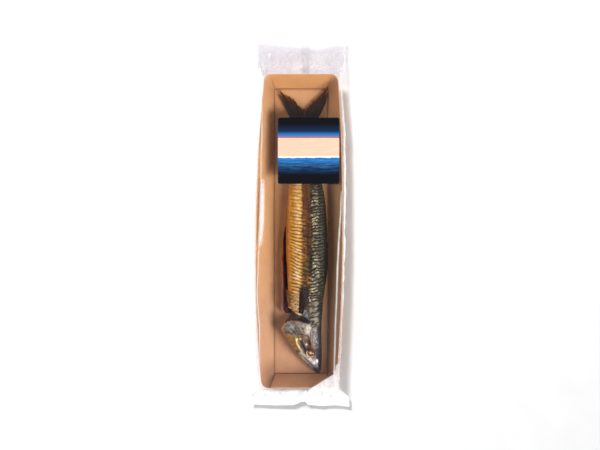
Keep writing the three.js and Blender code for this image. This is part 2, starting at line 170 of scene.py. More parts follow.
def hexcol(text):
    """Linear colour of a hex triplet."""
    v = np.array([int(text[i : i + 2], 16) for i in (0, 2, 4)]) / 255
    return np.where(v <= 0.04045, v / 12.92, ((v + 0.055) / 1.055) ** 2.4)


def mix(a, b, t):
    """From a to b by t; either may be a hex triplet."""
    a, b = (hexcol(c) if isinstance(c, str) else c for c in (a, b))
    return a + (b - a) * np.asarray(t)[..., None]


# ---------------------------------------------------------------- meshes


def place(points):
    return (np.asarray(points, float) + CENTRE) / 1000


def new_mesh(name, points, faces, material, colour=None, values=None):
    """A piece that rides on the pack, from points in the pack's millimetres."""
    mesh = bpy.data.meshes.new(name)
    mesh.from_pydata(place(points).tolist(), [], faces)
    mesh.validate()
    mesh.update()
    mesh.shade_smooth()
    if colour is not None:
        layer = mesh.color_attributes.new("paint", "FLOAT_COLOR", "POINT")
        rgba = np.ones((len(points), 4), np.float32)
        rgba[:, :3] = colour
        layer.data.foreach_set("color", rgba.ravel())
    for key, value in (values or {}).items():
        layer = mesh.attributes.new(key, "FLOAT", "POINT")
        layer.data.foreach_set("value", np.asarray(value, np.float32).ravel())
    mesh.materials.append(material)
    piece = bpy.data.objects.new(name, mesh)
    bpy.context.scene.collection.objects.link(piece)
    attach(piece, "root")
    return piece


def grid_faces(rows, columns, closed=False, flip=False):
    """Faces over rows of points; closed joins each row's last point to its first."""
    r, c = np.meshgrid(np.arange(rows - 1), np.arange(columns if closed else columns - 1), indexing="ij")
    a, b = r * columns + c, r * columns + (c + 1) % columns
    quads = np.stack([a, b, b + columns, a + columns], -1).reshape(-1, 4)
    return (quads[:, ::-1] if flip else quads).tolist()


def two_sided(top, under, flip=False):
    """Points and faces of a closed sheet between two grids of points."""
    rows, columns = top.shape[:2]
    n = rows * columns
    upper = grid_faces(rows, columns, flip=flip)
    right = [r * columns + columns - 1 for r in range(1, rows)]
    left = [r * columns for r in range(rows - 2, 0, -1)]
    border = list(range(columns)) + right + [n - 1 - k for k in range(1, columns)] + left
    sides = [[border[i - 1], border[i - 1] + n, border[i] + n, border[i]] for i in range(len(border))]
    faces = upper + [[i + n for i in f[::-1]] for f in upper] + [q[::-1] if flip else q for q in sides]
    return np.concatenate([top.reshape(-1, 3), under.reshape(-1, 3)]), faces


# ---------------------------------------------------------------- materials


class Nodes:
    """A short way to write a node tree."""

    def __init__(self, name):
        self.material = bpy.data.materials.new(name)
        self.material.use_nodes = True
        self.tree = self.material.node_tree
        self.tree.nodes.clear()
        self.out = self.tree.nodes.new("ShaderNodeOutputMaterial")

    def add(self, kind, **settings):
        """A node with sockets and properties set; a socket's value may be another node's output."""
        node = self.tree.nodes.new("ShaderNode" + kind)
        for key, value in settings.items():
            if hasattr(node, key) and not key[0].isupper() and not key.startswith("i_"):
                setattr(node, key, value)
                continue
            key = key[2:] if key.startswith("i_") else key
            socket = node.inputs[int(key)] if key.isdigit() else node.inputs[key.replace("_", " ")]
            if isinstance(value, bpy.types.NodeSocket):
                self.tree.links.new(value, socket)
            else:
                socket.default_value = value
        return node

    def math(self, operation, a, b=0.0, clamp=False):
        return self.add("Math", operation=operation, use_clamp=clamp, i_0=a, i_1=b).outputs[0]

    def mix(self, factor, a, b, blend="MIX"):
        node = self.add("Mix", data_type="RGBA", blend_type=blend)
        for socket, value in ((node.inputs[0], factor), (node.inputs[6], a), (node.inputs[7], b)):
            if isinstance(value, bpy.types.NodeSocket):
                self.tree.links.new(value, socket)
            else:
                socket.default_value = value
        return node.outputs[2]

    def ramp(self, value, stops):
        """Value through a colour ramp: stops are (place, grey or colour)."""
        node = self.add("ValToRGB", Fac=value)
        elements = node.color_ramp.elements
        while len(elements) < len(stops):
            elements.new(0.5)
        for element, (at, colour) in zip(elements, stops):
            element.position = at
            if isinstance(colour, (int, float)):
                colour = (colour,) * 3
            element.color = (*colour, 1)
        return node.outputs[0]

    def noise(self, vector, scale, detail=3, roughness=0.55):
        return self.add(
            "TexNoise", Vector=vector, Scale=scale, Detail=detail, Roughness=roughness
        ).outputs[0]

    def stretch(self, x, y, z):
        """Object coordinates scaled along each axis."""
        coordinates = self.add("TexCoord").outputs["Object"]
        return self.add("Mapping", Vector=coordinates, Scale=(x, y, z)).outputs[0]

    def bump(self, height, strength, distance):
        return self.add("Bump", Height=height, Strength=strength, Distance=distance).outputs[0]

    def finish(self, shader):
        self.tree.links.new(shader, self.out.inputs["Surface"])
        return self.material


def skin_material():
    """Smoked skin: painted colours broken up by fine scales, with an oily gloss."""
    n = Nodes("smoked_skin")
    paint = n.add("Attribute", attribute_name="paint").outputs["Color"]
    wet = n.add("Attribute", attribute_name="wet").outputs["Fac"]
    fine = n.noise(n.stretch(1500, 700, 1500), 1.0, 4, 0.6)
    broad = n.noise(n.stretch(240, 160, 240), 1.0, 3)
    scales = n.add("TexVoronoi", Vector=n.stretch(900, 620, 900), Scale=1.0).outputs["Distance"]
    shade = n.ramp(n.math("ADD", n.math("MULTIPLY", fine, 0.6), n.math("MULTIPLY", broad, 0.4)),
                   [(0.3, 0.62), (0.5, 1.0), (0.72, 1.32)])
    colour = n.mix(0.85, paint, shade, "MULTIPLY")
    rough = n.math("ADD", n.math("MULTIPLY", fine, 0.22), n.math("MULTIPLY", wet, -0.2))
    rough = n.math("ADD", rough, 0.34, clamp=True)
    height = n.math("ADD", n.math("MULTIPLY", fine, 0.5), n.math("MULTIPLY", scales, 0.5))
    normal = n.bump(height, 0.5, 0.0004)
    skin = n.add("BsdfPrincipled", Base_Color=colour, Roughness=rough, Normal=normal)
    skin.inputs["Subsurface Weight"].default_value = 0.06
    skin.inputs["Subsurface Radius"].default_value = (0.004, 0.002, 0.001)
    skin.inputs["Subsurface Scale"].default_value = 0.3
    skin.inputs["Specular IOR Level"].default_value = 0.34
    skin.inputs["Coat Weight"].default_value = 0.16
    skin.inputs["Coat Roughness"].default_value = 0.16
    return n.finish(skin.outputs[0])


def eye_material():
    n = Nodes("eye")
    paint = n.add("Attribute", attribute_name="paint").outputs["Color"]
    cloud = n.ramp(n.noise(n.stretch(1400, 1400, 1400), 1.0, 3), [(0.3, 0.7), (0.7, 1.25)])
    rough = n.math("MULTIPLY", n.noise(n.stretch(900, 900, 900), 1.0), 0.3)
    skin = n.add("BsdfPrincipled", Base_Color=n.mix(0.7, paint, cloud, "MULTIPLY"), Roughness=rough)
    skin.inputs["Coat Weight"].default_value = 0.8
    skin.inputs["Coat Roughness"].default_value = 0.06
    return n.finish(skin.outputs[0])


def fin_material():
    """Dried fin: dark membrane between rays, thin enough to glow brown at its edges."""
    n = Nodes("dried_fin")
    paint = n.add("Attribute", attribute_name="paint").outputs["Color"]
    grain = n.noise(n.stretch(1300, 500, 1300), 1.0, 4, 0.6)
    shade = n.ramp(grain, [(0.3, 0.55), (0.5, 1.0), (0.75, 1.5)])
    colour = n.mix(0.9, paint, shade, "MULTIPLY")
    normal = n.bump(grain, 0.5, 0.0003)
    rough = n.math("ADD", n.math("MULTIPLY", grain, 0.3), 0.3)
    front = n.add("BsdfPrincipled", Base_Color=colour, Roughness=rough, Normal=normal)
    front.inputs["Specular IOR Level"].default_value = 0.16
    glow = n.add("BsdfTranslucent", Color=n.mix(0.5, colour, (0.35, 0.1, 0.02, 1)))
    return n.finish(n.add("MixShader", Fac=0.25, i_1=front.outputs[0], i_2=glow.outputs[0]).outputs[0])


def board_material():
    """Kraft board: long fibres, darker flecks and a slow mottle; darker along its creases."""
    n = Nodes("kraft_board")
    paint = n.add("Attribute", attribute_name="paint").outputs["Color"]
    fibres = n.noise(n.stretch(2600, 260, 900), 1.0, 4, 0.65)
    across = n.noise(n.stretch(420, 1900, 900), 1.0, 3, 0.6)
    mottle = n.noise(n.stretch(60, 45, 60), 1.0, 3)
    flecks = n.ramp(n.noise(n.stretch(1500, 420, 1500), 1.0, 2), [(0.66, 1.0), (0.74, 0.72)])
    tone = n.math("ADD", n.math("MULTIPLY", fibres, 0.45), n.math("MULTIPLY", across, 0.25))
    tone = n.math("ADD", tone, n.math("MULTIPLY", mottle, 0.3))
    shade = n.ramp(tone, [(0.35, 0.82), (0.5, 1.0), (0.65, 1.14)])
    colour = n.mix(1.0, n.mix(1.0, paint, shade, "MULTIPLY"), flecks, "MULTIPLY")
    rough = n.math("ADD", n.math("MULTIPLY", fibres, 0.25), 0.58)
    board = n.add("BsdfPrincipled", Base_Color=colour, Roughness=rough,
                  Normal=n.bump(tone, 0.35, 0.0004))
    board.inputs["Specular IOR Level"].default_value = 0.3
    board.inputs["Sheen Weight"].default_value = 0.1
    return n.finish(board.outputs[0])


def film_material():
    """Clear film: seen straight through where it is taut, milky where it is creased or doubled, and milky
    white in strips of painted glare.
    """
    n = Nodes("clear_film")
    haze_and_glare = n.add("Attribute", attribute_name="haze_and_glare").outputs["Fac"]
    fine = n.noise(n.stretch(260, 160, 260), 1.0, 4, 0.6)
    crinkle = n.noise(n.stretch(70, 40, 70), 1.0, 3, 0.5)
    normal = n.bump(n.math("ADD", n.math("MULTIPLY", fine, 0.25), crinkle), 0.16, 0.001)
    cloud = n.ramp(fine, [(0.25, 0.8), (0.75, 1.2)])
    veil = n.math("MULTIPLY", haze_and_glare, cloud, clamp=True)
    tint = n.add("Attribute", attribute_name="tint").outputs["Fac"]
    clear = n.add("BsdfTransparent", Color=n.mix(tint, (0.99, 0.99, 0.992, 1), (0.915, 0.9, 0.921, 1)))
    white = n.add("BsdfDiffuse", Color=(0.95, 0.95, 0.97, 1), Normal=normal)
    lit = n.add("BsdfTranslucent", Color=(0.95, 0.95, 0.98, 1), Normal=normal)
    milk = n.add("MixShader", Fac=0.35, i_1=white.outputs[0], i_2=lit.outputs[0])
    body = n.add("MixShader", Fac=veil, i_1=clear.outputs[0], i_2=milk.outputs[0])
    taut = n.math("ADD", n.math("MULTIPLY", fine, 0.1), 0.05)
    rough = n.math("ADD", n.math("MULTIPLY", tint, 0.3), taut)
    gloss = n.add("BsdfGlossy", Color=(1, 1, 1, 1), Roughness=rough, Normal=normal)
    facing = n.add("LayerWeight", Blend=0.5, Normal=normal).outputs["Facing"]
    edge = n.math("ADD", n.math("POWER", facing, 3.0), 0.014, clamp=True)
    return n.finish(n.add("MixShader", Fac=edge, i_1=body.outputs[0], i_2=gloss.outputs[0]).outputs[0])


def label_material():
    """Coated paper printed in plain bands; v runs from 0 at the foot to 1 at the head."""
    n = Nodes("label_paper")
    v = n.add("Attribute", attribute_name="v").outputs["Fac"]
    wave = n.noise(n.stretch(110, 6, 6), 1.0, 4, 0.6)
    waved = n.math("ADD", v, n.math("MULTIPLY", n.math("SUBTRACT", wave, 0.5), 0.05))
    streak = n.noise(n.stretch(60, 700, 60), 1.0, 4, 0.65)
    ink, navy, blue = hexcol("0b0d14"), hexcol("14294a"), hexcol("2a6fb0")
    lower = n.ramp(v, [(0.0, ink), (0.13, ink), (0.25, hexcol("10294b")), (0.35, hexcol("1f5f9e")),
                       (0.4, blue)])
    upper = n.ramp(v, [(0.70, hexcol("3f86c4")), (0.745, hexcol("2c6aa8")), (0.79, navy), (0.9, ink),
                       (1.0, ink)])
    glint = n.math("MULTIPLY", n.ramp(streak, [(0.45, 0.0), (0.7, 0.7)]),
                   n.ramp(v, [(0.16, 0.0), (0.36, 1.0)]))
    lower = n.mix(glint, lower, (*hexcol("4a9ad6"), 1))
    panel = n.mix(n.ramp(streak, [(0.4, 0.0), (0.7, 0.5)]), (*hexcol("ecb9a0"), 1), (*hexcol("f3d0bc"), 1))
    colour = n.mix(n.math("GREATER_THAN", waved, 0.395), lower, (*hexcol("eef1f2"), 1))
    colour = n.mix(n.math("GREATER_THAN", waved, 0.415), colour, panel)
    colour = n.mix(n.math("GREATER_THAN", v, 0.695), colour, (*hexcol("b8263c"), 1))
    colour = n.mix(n.math("GREATER_THAN", v, 0.71), colour, upper)
    fine = n.noise(n.stretch(900, 900, 900), 1.0, 3)
    rough = n.math("ADD", n.math("MULTIPLY", fine, 0.12), 0.16)
    paper = n.add("BsdfPrincipled", Base_Color=colour, Roughness=rough, Normal=n.bump(fine, 0.15, 0.0002))
    paper.inputs["Specular IOR Level"].default_value = 0.35
    return n.finish(paper.outputs[0])


def floor_material():
    n = Nodes("floor_paper")
    grain = n.noise(n.stretch(30, 30, 30), 1.0, 3)
    colour = n.ramp(grain, [(0.3, 0.90), (0.7, 0.93)])
    paper = n.add("BsdfPrincipled", Base_Color=colour, Roughness=0.9)
    paper.inputs["Specular IOR Level"].default_value = 0.1
    return n.finish(paper.outputs[0])


# ---------------------------------------------------------------- mackerel

# Along Y: x of the belly and of the back from above, z of the middle, half the thickness, and the
# back's roll upwards in degrees.
BODY = through([
    [-160.4, 16.8, 21.4, 12.0, 1.8, 0],
    [-156.5, 12.8, 22.7, 12.6, 4.4, 0],
    [-148, 3.4, 23.2, 13.4, 7.8, 2],
    [-139.6, -4.6, 23.3, 14.4, 10.6, 3],
    [-128, -12.2, 23.2, 15.4, 12.8, 4],
    [-117, -19.2, 23.0, 16.2, 14.6, 5],
    [-109, -23.0, 23.1, 16.8, 15.4, 6],
    [-102.5, -21.6, 23.2, 16.9, 15.6, 7],
    [-94.5, -16.4, 23.7, 17.0, 15.8, 8],
    [-83, -14.6, 24.6, 17.6, 16.4, 10],
    [-72, -14.6, 26.0, 18.2, 17.0, 12],
    [-49, -15.6, 28.2, 18.9, 17.8, 14],
    [-27, -16.8, 29.5, 19.2, 18.2, 15],
    [-10, -17.1, 29.7, 19.2, 18.2, 15],
    [7, -16.8, 29.3, 19.0, 18.0, 15],
    [24, -15.8, 28.2, 18.5, 17.4, 14],
    [46.5, -14.0, 25.4, 17.0, 15.8, 12],
    [63, -9.8, 21.0, 15.0, 13.0, 10],
    [80, -5.0, 15.8, 12.6, 9.6, 7],
    [94, -1.2, 11.8, 10.8, 6.6, 4],
    [105, 0.4, 9.8, 9.6, 4.4, 2],
    [114, 1.2, 9.2, 9.0, 2.6, 0],
    [121, 2.6, 7.8, 8.6, 0.9, 0],
])
REST = 1.5  # height of the flank the fish lies on


def body_rings(y, angle, pinch=0.0):
    """Points of the plain body at each y and angle: 0 is the back, a quarter turn the upper flank."""
    belly, back, z, half, roll = BODY(y).T[:, :, None]
    roll = np.radians(roll)
    seen, tilt = (back - belly) / 2, half * np.sin(roll)
    height = np.sqrt(np.maximum(seen**2 - tilt**2, 0.01)) / np.cos(roll) * (1 - pinch)
    half = half * (1 - pinch)
    c, s = np.cos(angle)[None, :], np.sin(angle)[None, :]
    x = (belly + back) / 2 + height * c * np.cos(roll) - half * s * np.sin(roll)
    up = z + height * c * np.sin(roll) + half * s * np.cos(roll)
    return np.stack([x, np.broadcast_to(np.asarray(y)[:, None], x.shape), up], -1)


def wrinkles(x, y):
    """Shape of the skin's creases, over the upper flank seen from above: its height from 0 in a crease
    to 1 on a ridge, how strong the creases are, and how much painted highlight each ridge gets, as a
    pale spot on the gold flank and a pale dash on the back."""
    drift = 1.25 * noise(x * 0.07, y * 0.05, 5) + 0.6 * noise(x * 0.21, y * 0.2, 6)
    gold = x < 5.0 + 1.2 * noise(x * 0, y * 0.08, 7)
    slant = 0.14 + 0.18 * ramp(y, -5, -35)
    warp = 1.5 * drift + 1.1 * noise(x * 0.34, y * 0.27, 22)
    phase = np.where(gold, (y - slant * (3 - x) + drift) / 3.85, (y - 0.26 * (x - 3) + warp + 1.3) / 3.65)
    ridge = np.floor(phase)
    profile = np.abs(np.sin(np.pi * phase)) ** 0.7

    def each(seed, spread):
        """A different number for each ridge."""
        return spread * noise(ridge * 1.37 + 0.5, np.where(gold, 3.5, 9.5) + 0 * ridge, seed)

    lower = ramp(y, -40, -58)
    # Painted highlights: a pale spot across each ridge of the gold flank, pale dashes along the back's ridges
    # and a dimmer second row beyond them.
    spot = np.exp(-(((x + 3.4 + 2.0 * lower - each(11, 1.5)) / (3.1 + 1.2 * lower + each(12, 1.1))) ** 4))
    spot = spot * (0.75 + each(13, 0.45))
    start, end = 12.4 - 5.0 * lower + each(14, 3.0), 19.8 + each(15, 3.0)
    dash = ramp(x, start - 0.9, start + 0.9) * ramp(x, end + 1.1, end - 1.1)
    dash = dash * (1 - 0.4 * ramp(x, 13, 21)) * (0.62 + each(16, 0.7))
    dash = dash * (0.25 + 0.75 * ramp(noise(x * 0.4, y * 0.36, 23), -0.6, 0.25))
    outer = ramp(x, 21.2, 22.2) * ramp(x, 26.6, 25.0) * (0.3 + each(18, 0.25))
    painted_shine = np.where(gold, spot, dash + outer) * np.clip(0.8 + 0.7 * noise(x * 0.5, y * 0.45, 19), 0, 1.3)
    painted_shine = painted_shine * (ramp(y, -88, -72) + 0.3 * ramp(x, 8, 11) * ramp(y, -116, -104)) * ramp(y, 104, 84)
    break_up = 0.72 + 0.5 * noise(x * 0.25, y * 0.2, 8)
    on_gold = 1.25 * ramp(x, -15, -7) * (1 - 0.5 * ramp(y, 12, 34))
    on_back = 0.4 + 0.8 * np.maximum(ramp(x, 9.5, 12), 0.6 * ramp(y, -40, -58))
    strength = np.where(gold, on_gold, on_back)
    strength = strength * break_up * ramp(x, 28, 22) * ramp(y, -112, -98) * ramp(y, 112, 90)
    strength = strength * (1 - 0.35 * blob(x, 0, 5.0, 0, 2.2, 1))
    return profile, np.clip(strength, 0, 1.2), np.clip(painted_shine, 0, 1.1)


GILL_EDGE = [(-22.4, -109.6), (-18.7, -103.1), (-14.6, -100.7), (-10.1, -99.3), (-1.9, -100.0),
             (3.4, -101.8), (9.3, -103.5), (11.8, -107.4), (12.7, -113.0)]
GILL_GAP = [(-26, -82), (-13.1, -87.5), (-7.5, -91.4), (-3.1, -94.4), (1.9, -95.0), (6.9, -97.5),
            (10.6, -101.2), (9.3, -103.5), (3.4, -101.8), (-1.9, -100.0), (-10.1, -99.3),
            (-14.6, -100.7), (-18.7, -103.1),
            (-22.4, -109.0), (-30, -108)]
CHEEK = [(-5.2, -121.9), (-4.4, -126.2), (-1.9, -130.6), (1.3, -135.0)]
SNOUT_RIDGE = [(-0.4, -136.8), (4.4, -139.9), (9.3, -143.6), (14.4, -147.4)]
COVER = GILL_EDGE + [(9, -117), (3.4, -115.2), (-3.7, -115.8), (-12, -118), (-21, -116)]
HEAD = GILL_EDGE + [(16, -116), (30, -116), (30, -170), (-40, -170), (-40, -110)]
STEP = [(-3.7, -115.8), (1.1, -115.2), (6.8, -116.9), (9.6, -120.5)]
GROOVE = [(-1.6, -122.6), (0.6, -127), (3.2, -132.4), (4.4, -135.5)]
SECOND_RIDGE = [(2.0, -122.0), (4.2, -127), (6.0, -131)]
BELOW_COVER = [(-24, -113), (-12, -116.2), (-3.7, -116.2), (6.8, -117.4), (12, -124), (12, -165),
               (-30, -165)]
CHEEK_PATCH = [(-3, -118.4), (4, -117.2), (10, -121), (12, -130), (9, -140), (3, -139), (-0.5, -131)]
LOWER_JAW = [(-5.4, -138.5), (-1.0, -138.6), (5, -143.5), (14, -152), (21, -157), (21, -166), (4, -166),
             (-9, -143)]
SNOUT = [(-1.4, -136.5), (3, -136.5), (7.5, -141), (14, -145), (22, -145), (22, -160), (16, -157),
         (5, -146.5)]
MOUTH = [(18.2, -159.5), (14.8, -154.6), (10.2, -150.2), (5.4, -145.4), (0.6, -139.6)]
EYE = (10.9, -136.8)


def head_shape(x, y):
    """How far the head's surface stands out, in millimetres, over the upper flank from above."""
    gap = inside(x, y, GILL_GAP, 0.7)
    rise = -7.0 * gap * ramp(x, 11, 1)
    cover = along_line(x, y, GILL_EDGE)[0]
    on_cover = inside(x, y, COVER, 1.0)
    rise = rise + 0.7 * bell(cover / 1.4) * on_cover + 0.5 * on_cover
    fan = np.arctan2(y + 137, x - 12)
    rise = rise + 0.16 * np.sin(fan * 34 + 2.5 * noise(x * 0.3, y * 0.3, 12)) * on_cover
    rise = rise + 0.9 * blob(x, y, 7.5, -110, 3.4, 6.0, -12) - 0.6 * blob(x, y, -7.5, -113, 4, 2.5)
    step = along_line(x, y, [(-14, -119)] + STEP)[0]
    rise = rise - 0.8 * bell(step / 0.8)
    rise = rise + 0.8 * blob(x, y, 4.8, -119.6, 3.2, 2.4) + 0.8 * blob(x, y, -0.9, -120.6, 1.2, 1.2)
    rise = rise - 1.3 * blob(x, y, 9.4, -127, 1.8, 3.0, 10) + 0.8 * blob(x, y, 6.0, -126.8, 1.3, 1.2)
    cheek = along_line(x, y, CHEEK)[0]
    rise = rise + 1.3 * bell(cheek / 1.25)
    groove = along_line(x, y, GROOVE)[0]
    rise = rise - 1.1 * bell(groove / 0.9)
    second = along_line(x, y, SECOND_RIDGE)[0]
    rise = rise + 0.5 * bell(second / 0.8)
    ridge = along_line(x, y, SNOUT_RIDGE)[0]
    rise = rise + 0.9 * bell(ridge / 1.7)
    lips, share = along_line(x, y, MOUTH)
    rise = rise - 1.4 * bell(lips / 0.55) * ramp(share, 1.0, 0.75)
    jaw = along_line(x, y, [(13.8, -157.5), (6, -150.5), (-2, -143), (-9, -132.5), (-15, -122)])[0]
    rise = rise - 0.55 * bell(jaw / 0.7)
    rise = rise - 0.9 * blob(x, y, -6.3, -137.7, 2.6, 2.2, -50) + 0.6 * blob(x, y, -7.2, -132.6, 2.2, 1.6)
    away = np.hypot(x - EYE[0], y - EYE[1])
    rise = rise + 0.8 * bell((away - 4.8) / 0.9) - 1.7 * ramp(away, 4.5, 3.2)
    rise = rise - 0.8 * blob(x, y, 15.6, -148.6, 0.9, 0.7)
    fine = 0.16 * fbm(x * 0.7, y * 0.7, 21) + 0.12 * fbm(x * 1.8, y * 1.8, 24, 2)
    return (rise + fine) * ramp(y, -80, -90) * ramp(y, -163, -159.5)


def flank_colour(x, y, profile, strength, painted_shine):
    """Colour of the body behind the head, seen from above, with painted highlights on its ridges and
    painted shade in its creases.
    """
    n1, n2 = fbm(x * 0.35, y * 0.22, 31), fbm(x * 1.1, y * 0.9, 34)
    # Painted shade in the creases, as deep as the creases are strong; used on the gold, the band and the back.
    crease = (1 - profile) ** 1.6 * np.clip(strength, 0, 1)
    gold = mix("ca8220", "e2a23a", ramp(n1 + 0.5 * n2, -0.6, 0.7))
    gold = mix(gold, "8a4c10", ramp(x, -12.0, -17.0) * 0.85)
    # Painted sheen: a broad paler stripe along the gold flank.
    gold = mix(gold, "dca648", blob(x, 0, -4.0, 0, 4.2, 1) * 0.55)
    gold = mix(gold, "4a2805", np.clip((1.6 + 1.2 * ramp(y, 8, -25)) * crease, 0, 0.95))
    spots = ramp(fbm(x * 0.7, y * 0.75, 36) + 0.3 * n2, 0.15, 0.55) * ramp(y, 10, 28)
    gold = mix(gold, "5f3409", spots * 0.6)
    # Painted highlights on the gold ridges, broken up by noise.
    painted_sparkle = ramp(noise(x * 0.55, y * 0.5, 39), -0.45, 0.5)
    gold = mix(gold, "ffe6b0", np.clip(painted_shine * profile**1.3 * (0.35 + 0.75 * painted_sparkle), 0, 1) * 0.82)
    streak = noise(x * 0.9, y * 0.07, 38)
    band = mix("3f230d", "643c18", ramp(streak + n2, -0.7, 0.8))
    band = mix(band, "7d4712", blob(x, y, 4.2, 17, 2.6, 13) * 0.8)
    band = mix(band, "5c5216", ramp(noise(x * 0.3, y * 0.2, 41), 0.0, 0.8) * ramp(y, 2, -14) * 0.6)
    band = mix(band, "4a2f3c", ramp(noise(x * 0.25, y * 0.25, 42), 0.35, 0.8) * 0.5)
    band = mix(band, "1e1005", crease * 0.9)
    # Painted highlights: pale dashes on the back's ridges, dimmer in the second row, and pale strokes on the
    # band's ridges.
    ridge = mix("6d614a", "c4b798", ramp(n2 + 0.5 * n1, -0.4, 0.6))
    ridge = mix(ridge, "454b40", ramp(x, 18.5, 21.5))
    # The back's own near-black, a little lighter on the ridges than in the creases as painted shade.
    dark = mix("120f08", "3a301c", ramp(profile + 0.4 * n2, 0.4, 1.1) * np.clip(strength, 0, 1))
    back = mix(dark, ridge, np.clip(painted_shine * ramp(profile, 0.5, 0.98), 0, 1))
    painted_highlight_stroke = mix("9a6f30", "b59a62", ramp(n2, -0.4, 0.6))
    band = mix(band, painted_highlight_stroke, np.clip(painted_shine * ramp(profile, 0.55, 1.0), 0, 1) * 0.85)
    # Lower down, golden and dark strokes cross the band between flank and back.
    slant = y + 0.2 * x + 0.4 * n1
    golden = ramp(noise(slant * 0.7, x * 0.1, 61) + 0.25 * n2, 0.05, 0.45) * ramp(y, 34, 2)
    band = mix(band, mix("a8742a", "e0b765", ramp(n2, -0.4, 0.6)), golden * ramp(x, 8.0, 2.0) * 0.4)
    shaded = ramp(noise(slant * 0.7 + 7, x * 0.1, 62) + 0.25 * n2, 0.1, 0.5) * ramp(y, 40, 10)
    band = mix(band, "1f1208", shaded * 0.75)
    edge = mix("0a0c08", "1d211a", ramp(n2, -0.3, 0.8))
    colour = mix(gold, band, ramp(x + 1.7 * n1 + 0.8 * n2, -0.6, 2.6))
    colour = mix(colour, back, ramp(x + 2.0 * noise(x * 0.1, y * 0.12, 43), 9.5, 12.4))
    return mix(colour, edge, ramp(x + 1.5 * n1, 25.0, 27.5))


def shoulder_colour(x, y, colour):
    """The last stretch behind the gill opening: dull nape, dark fin pocket and pale fin base."""
    n1, n2 = fbm(x * 0.6, y * 0.6, 45), fbm(x * 1.5, y * 1.3, 47)
    pocket = inside(x, y, [(-2.2, -58), (8.4, -58), (9.6, -74), (6.6, -86), (3.6, -92), (-1.1, -80)], 1.6)
    pocket_colour = mix("14141c", "34303a", ramp(n2, -0.2, 0.7))
    colour = mix(colour, pocket_colour, pocket * 0.9 * ramp(y, -56, -66))
    flank = inside(x, y, [(-14, -70), (-2, -70), (-2, -94), (-14, -88)], 3.0)
    colour = mix(colour, mix("5c3816", "dcb078", ramp(n2 + 0.5 * n1, -0.35, 0.35)), flank * 0.7)
    base = inside(x, y, [(-4.2, -80), (-0.6, -79), (1.6, -88), (0.2, -94.5), (-3.2, -93)], 0.9)
    base_colour = mix("8d6a4c", "e6d8c2", ramp(n2 + 0.4 * n1, -0.25, 0.35))
    colour = mix(colour, base_colour, base * 0.95)
    plate_line = [(3.6, -87), (6.6, -89), (10.2, -98.5), (9.0, -100.4), (5.0, -97.2), (2.0, -95.4)]
    plate = inside(x, y, plate_line, 0.9)
    colour = mix(colour, mix("2c2f2e", "7f8688", ramp(n2 + 0.6 * n1, -0.3, 0.5)), plate * 0.85)
    scales = ramp(noise(x * 0.3, (y - 0.25 * x) * 0.55, 49) + 0.7 * n2, -0.5, 0.8)
    nape = inside(x, y, [(9.5, -86), (10.6, -100), (14, -116), (24, -116), (26, -84), (18, -78)], 2.2)
    nape_colour = mix("1d1b18", "8f8574", scales * ramp(x, 21.5, 18.5))
    return mix(colour, nape_colour, nape * 0.92)


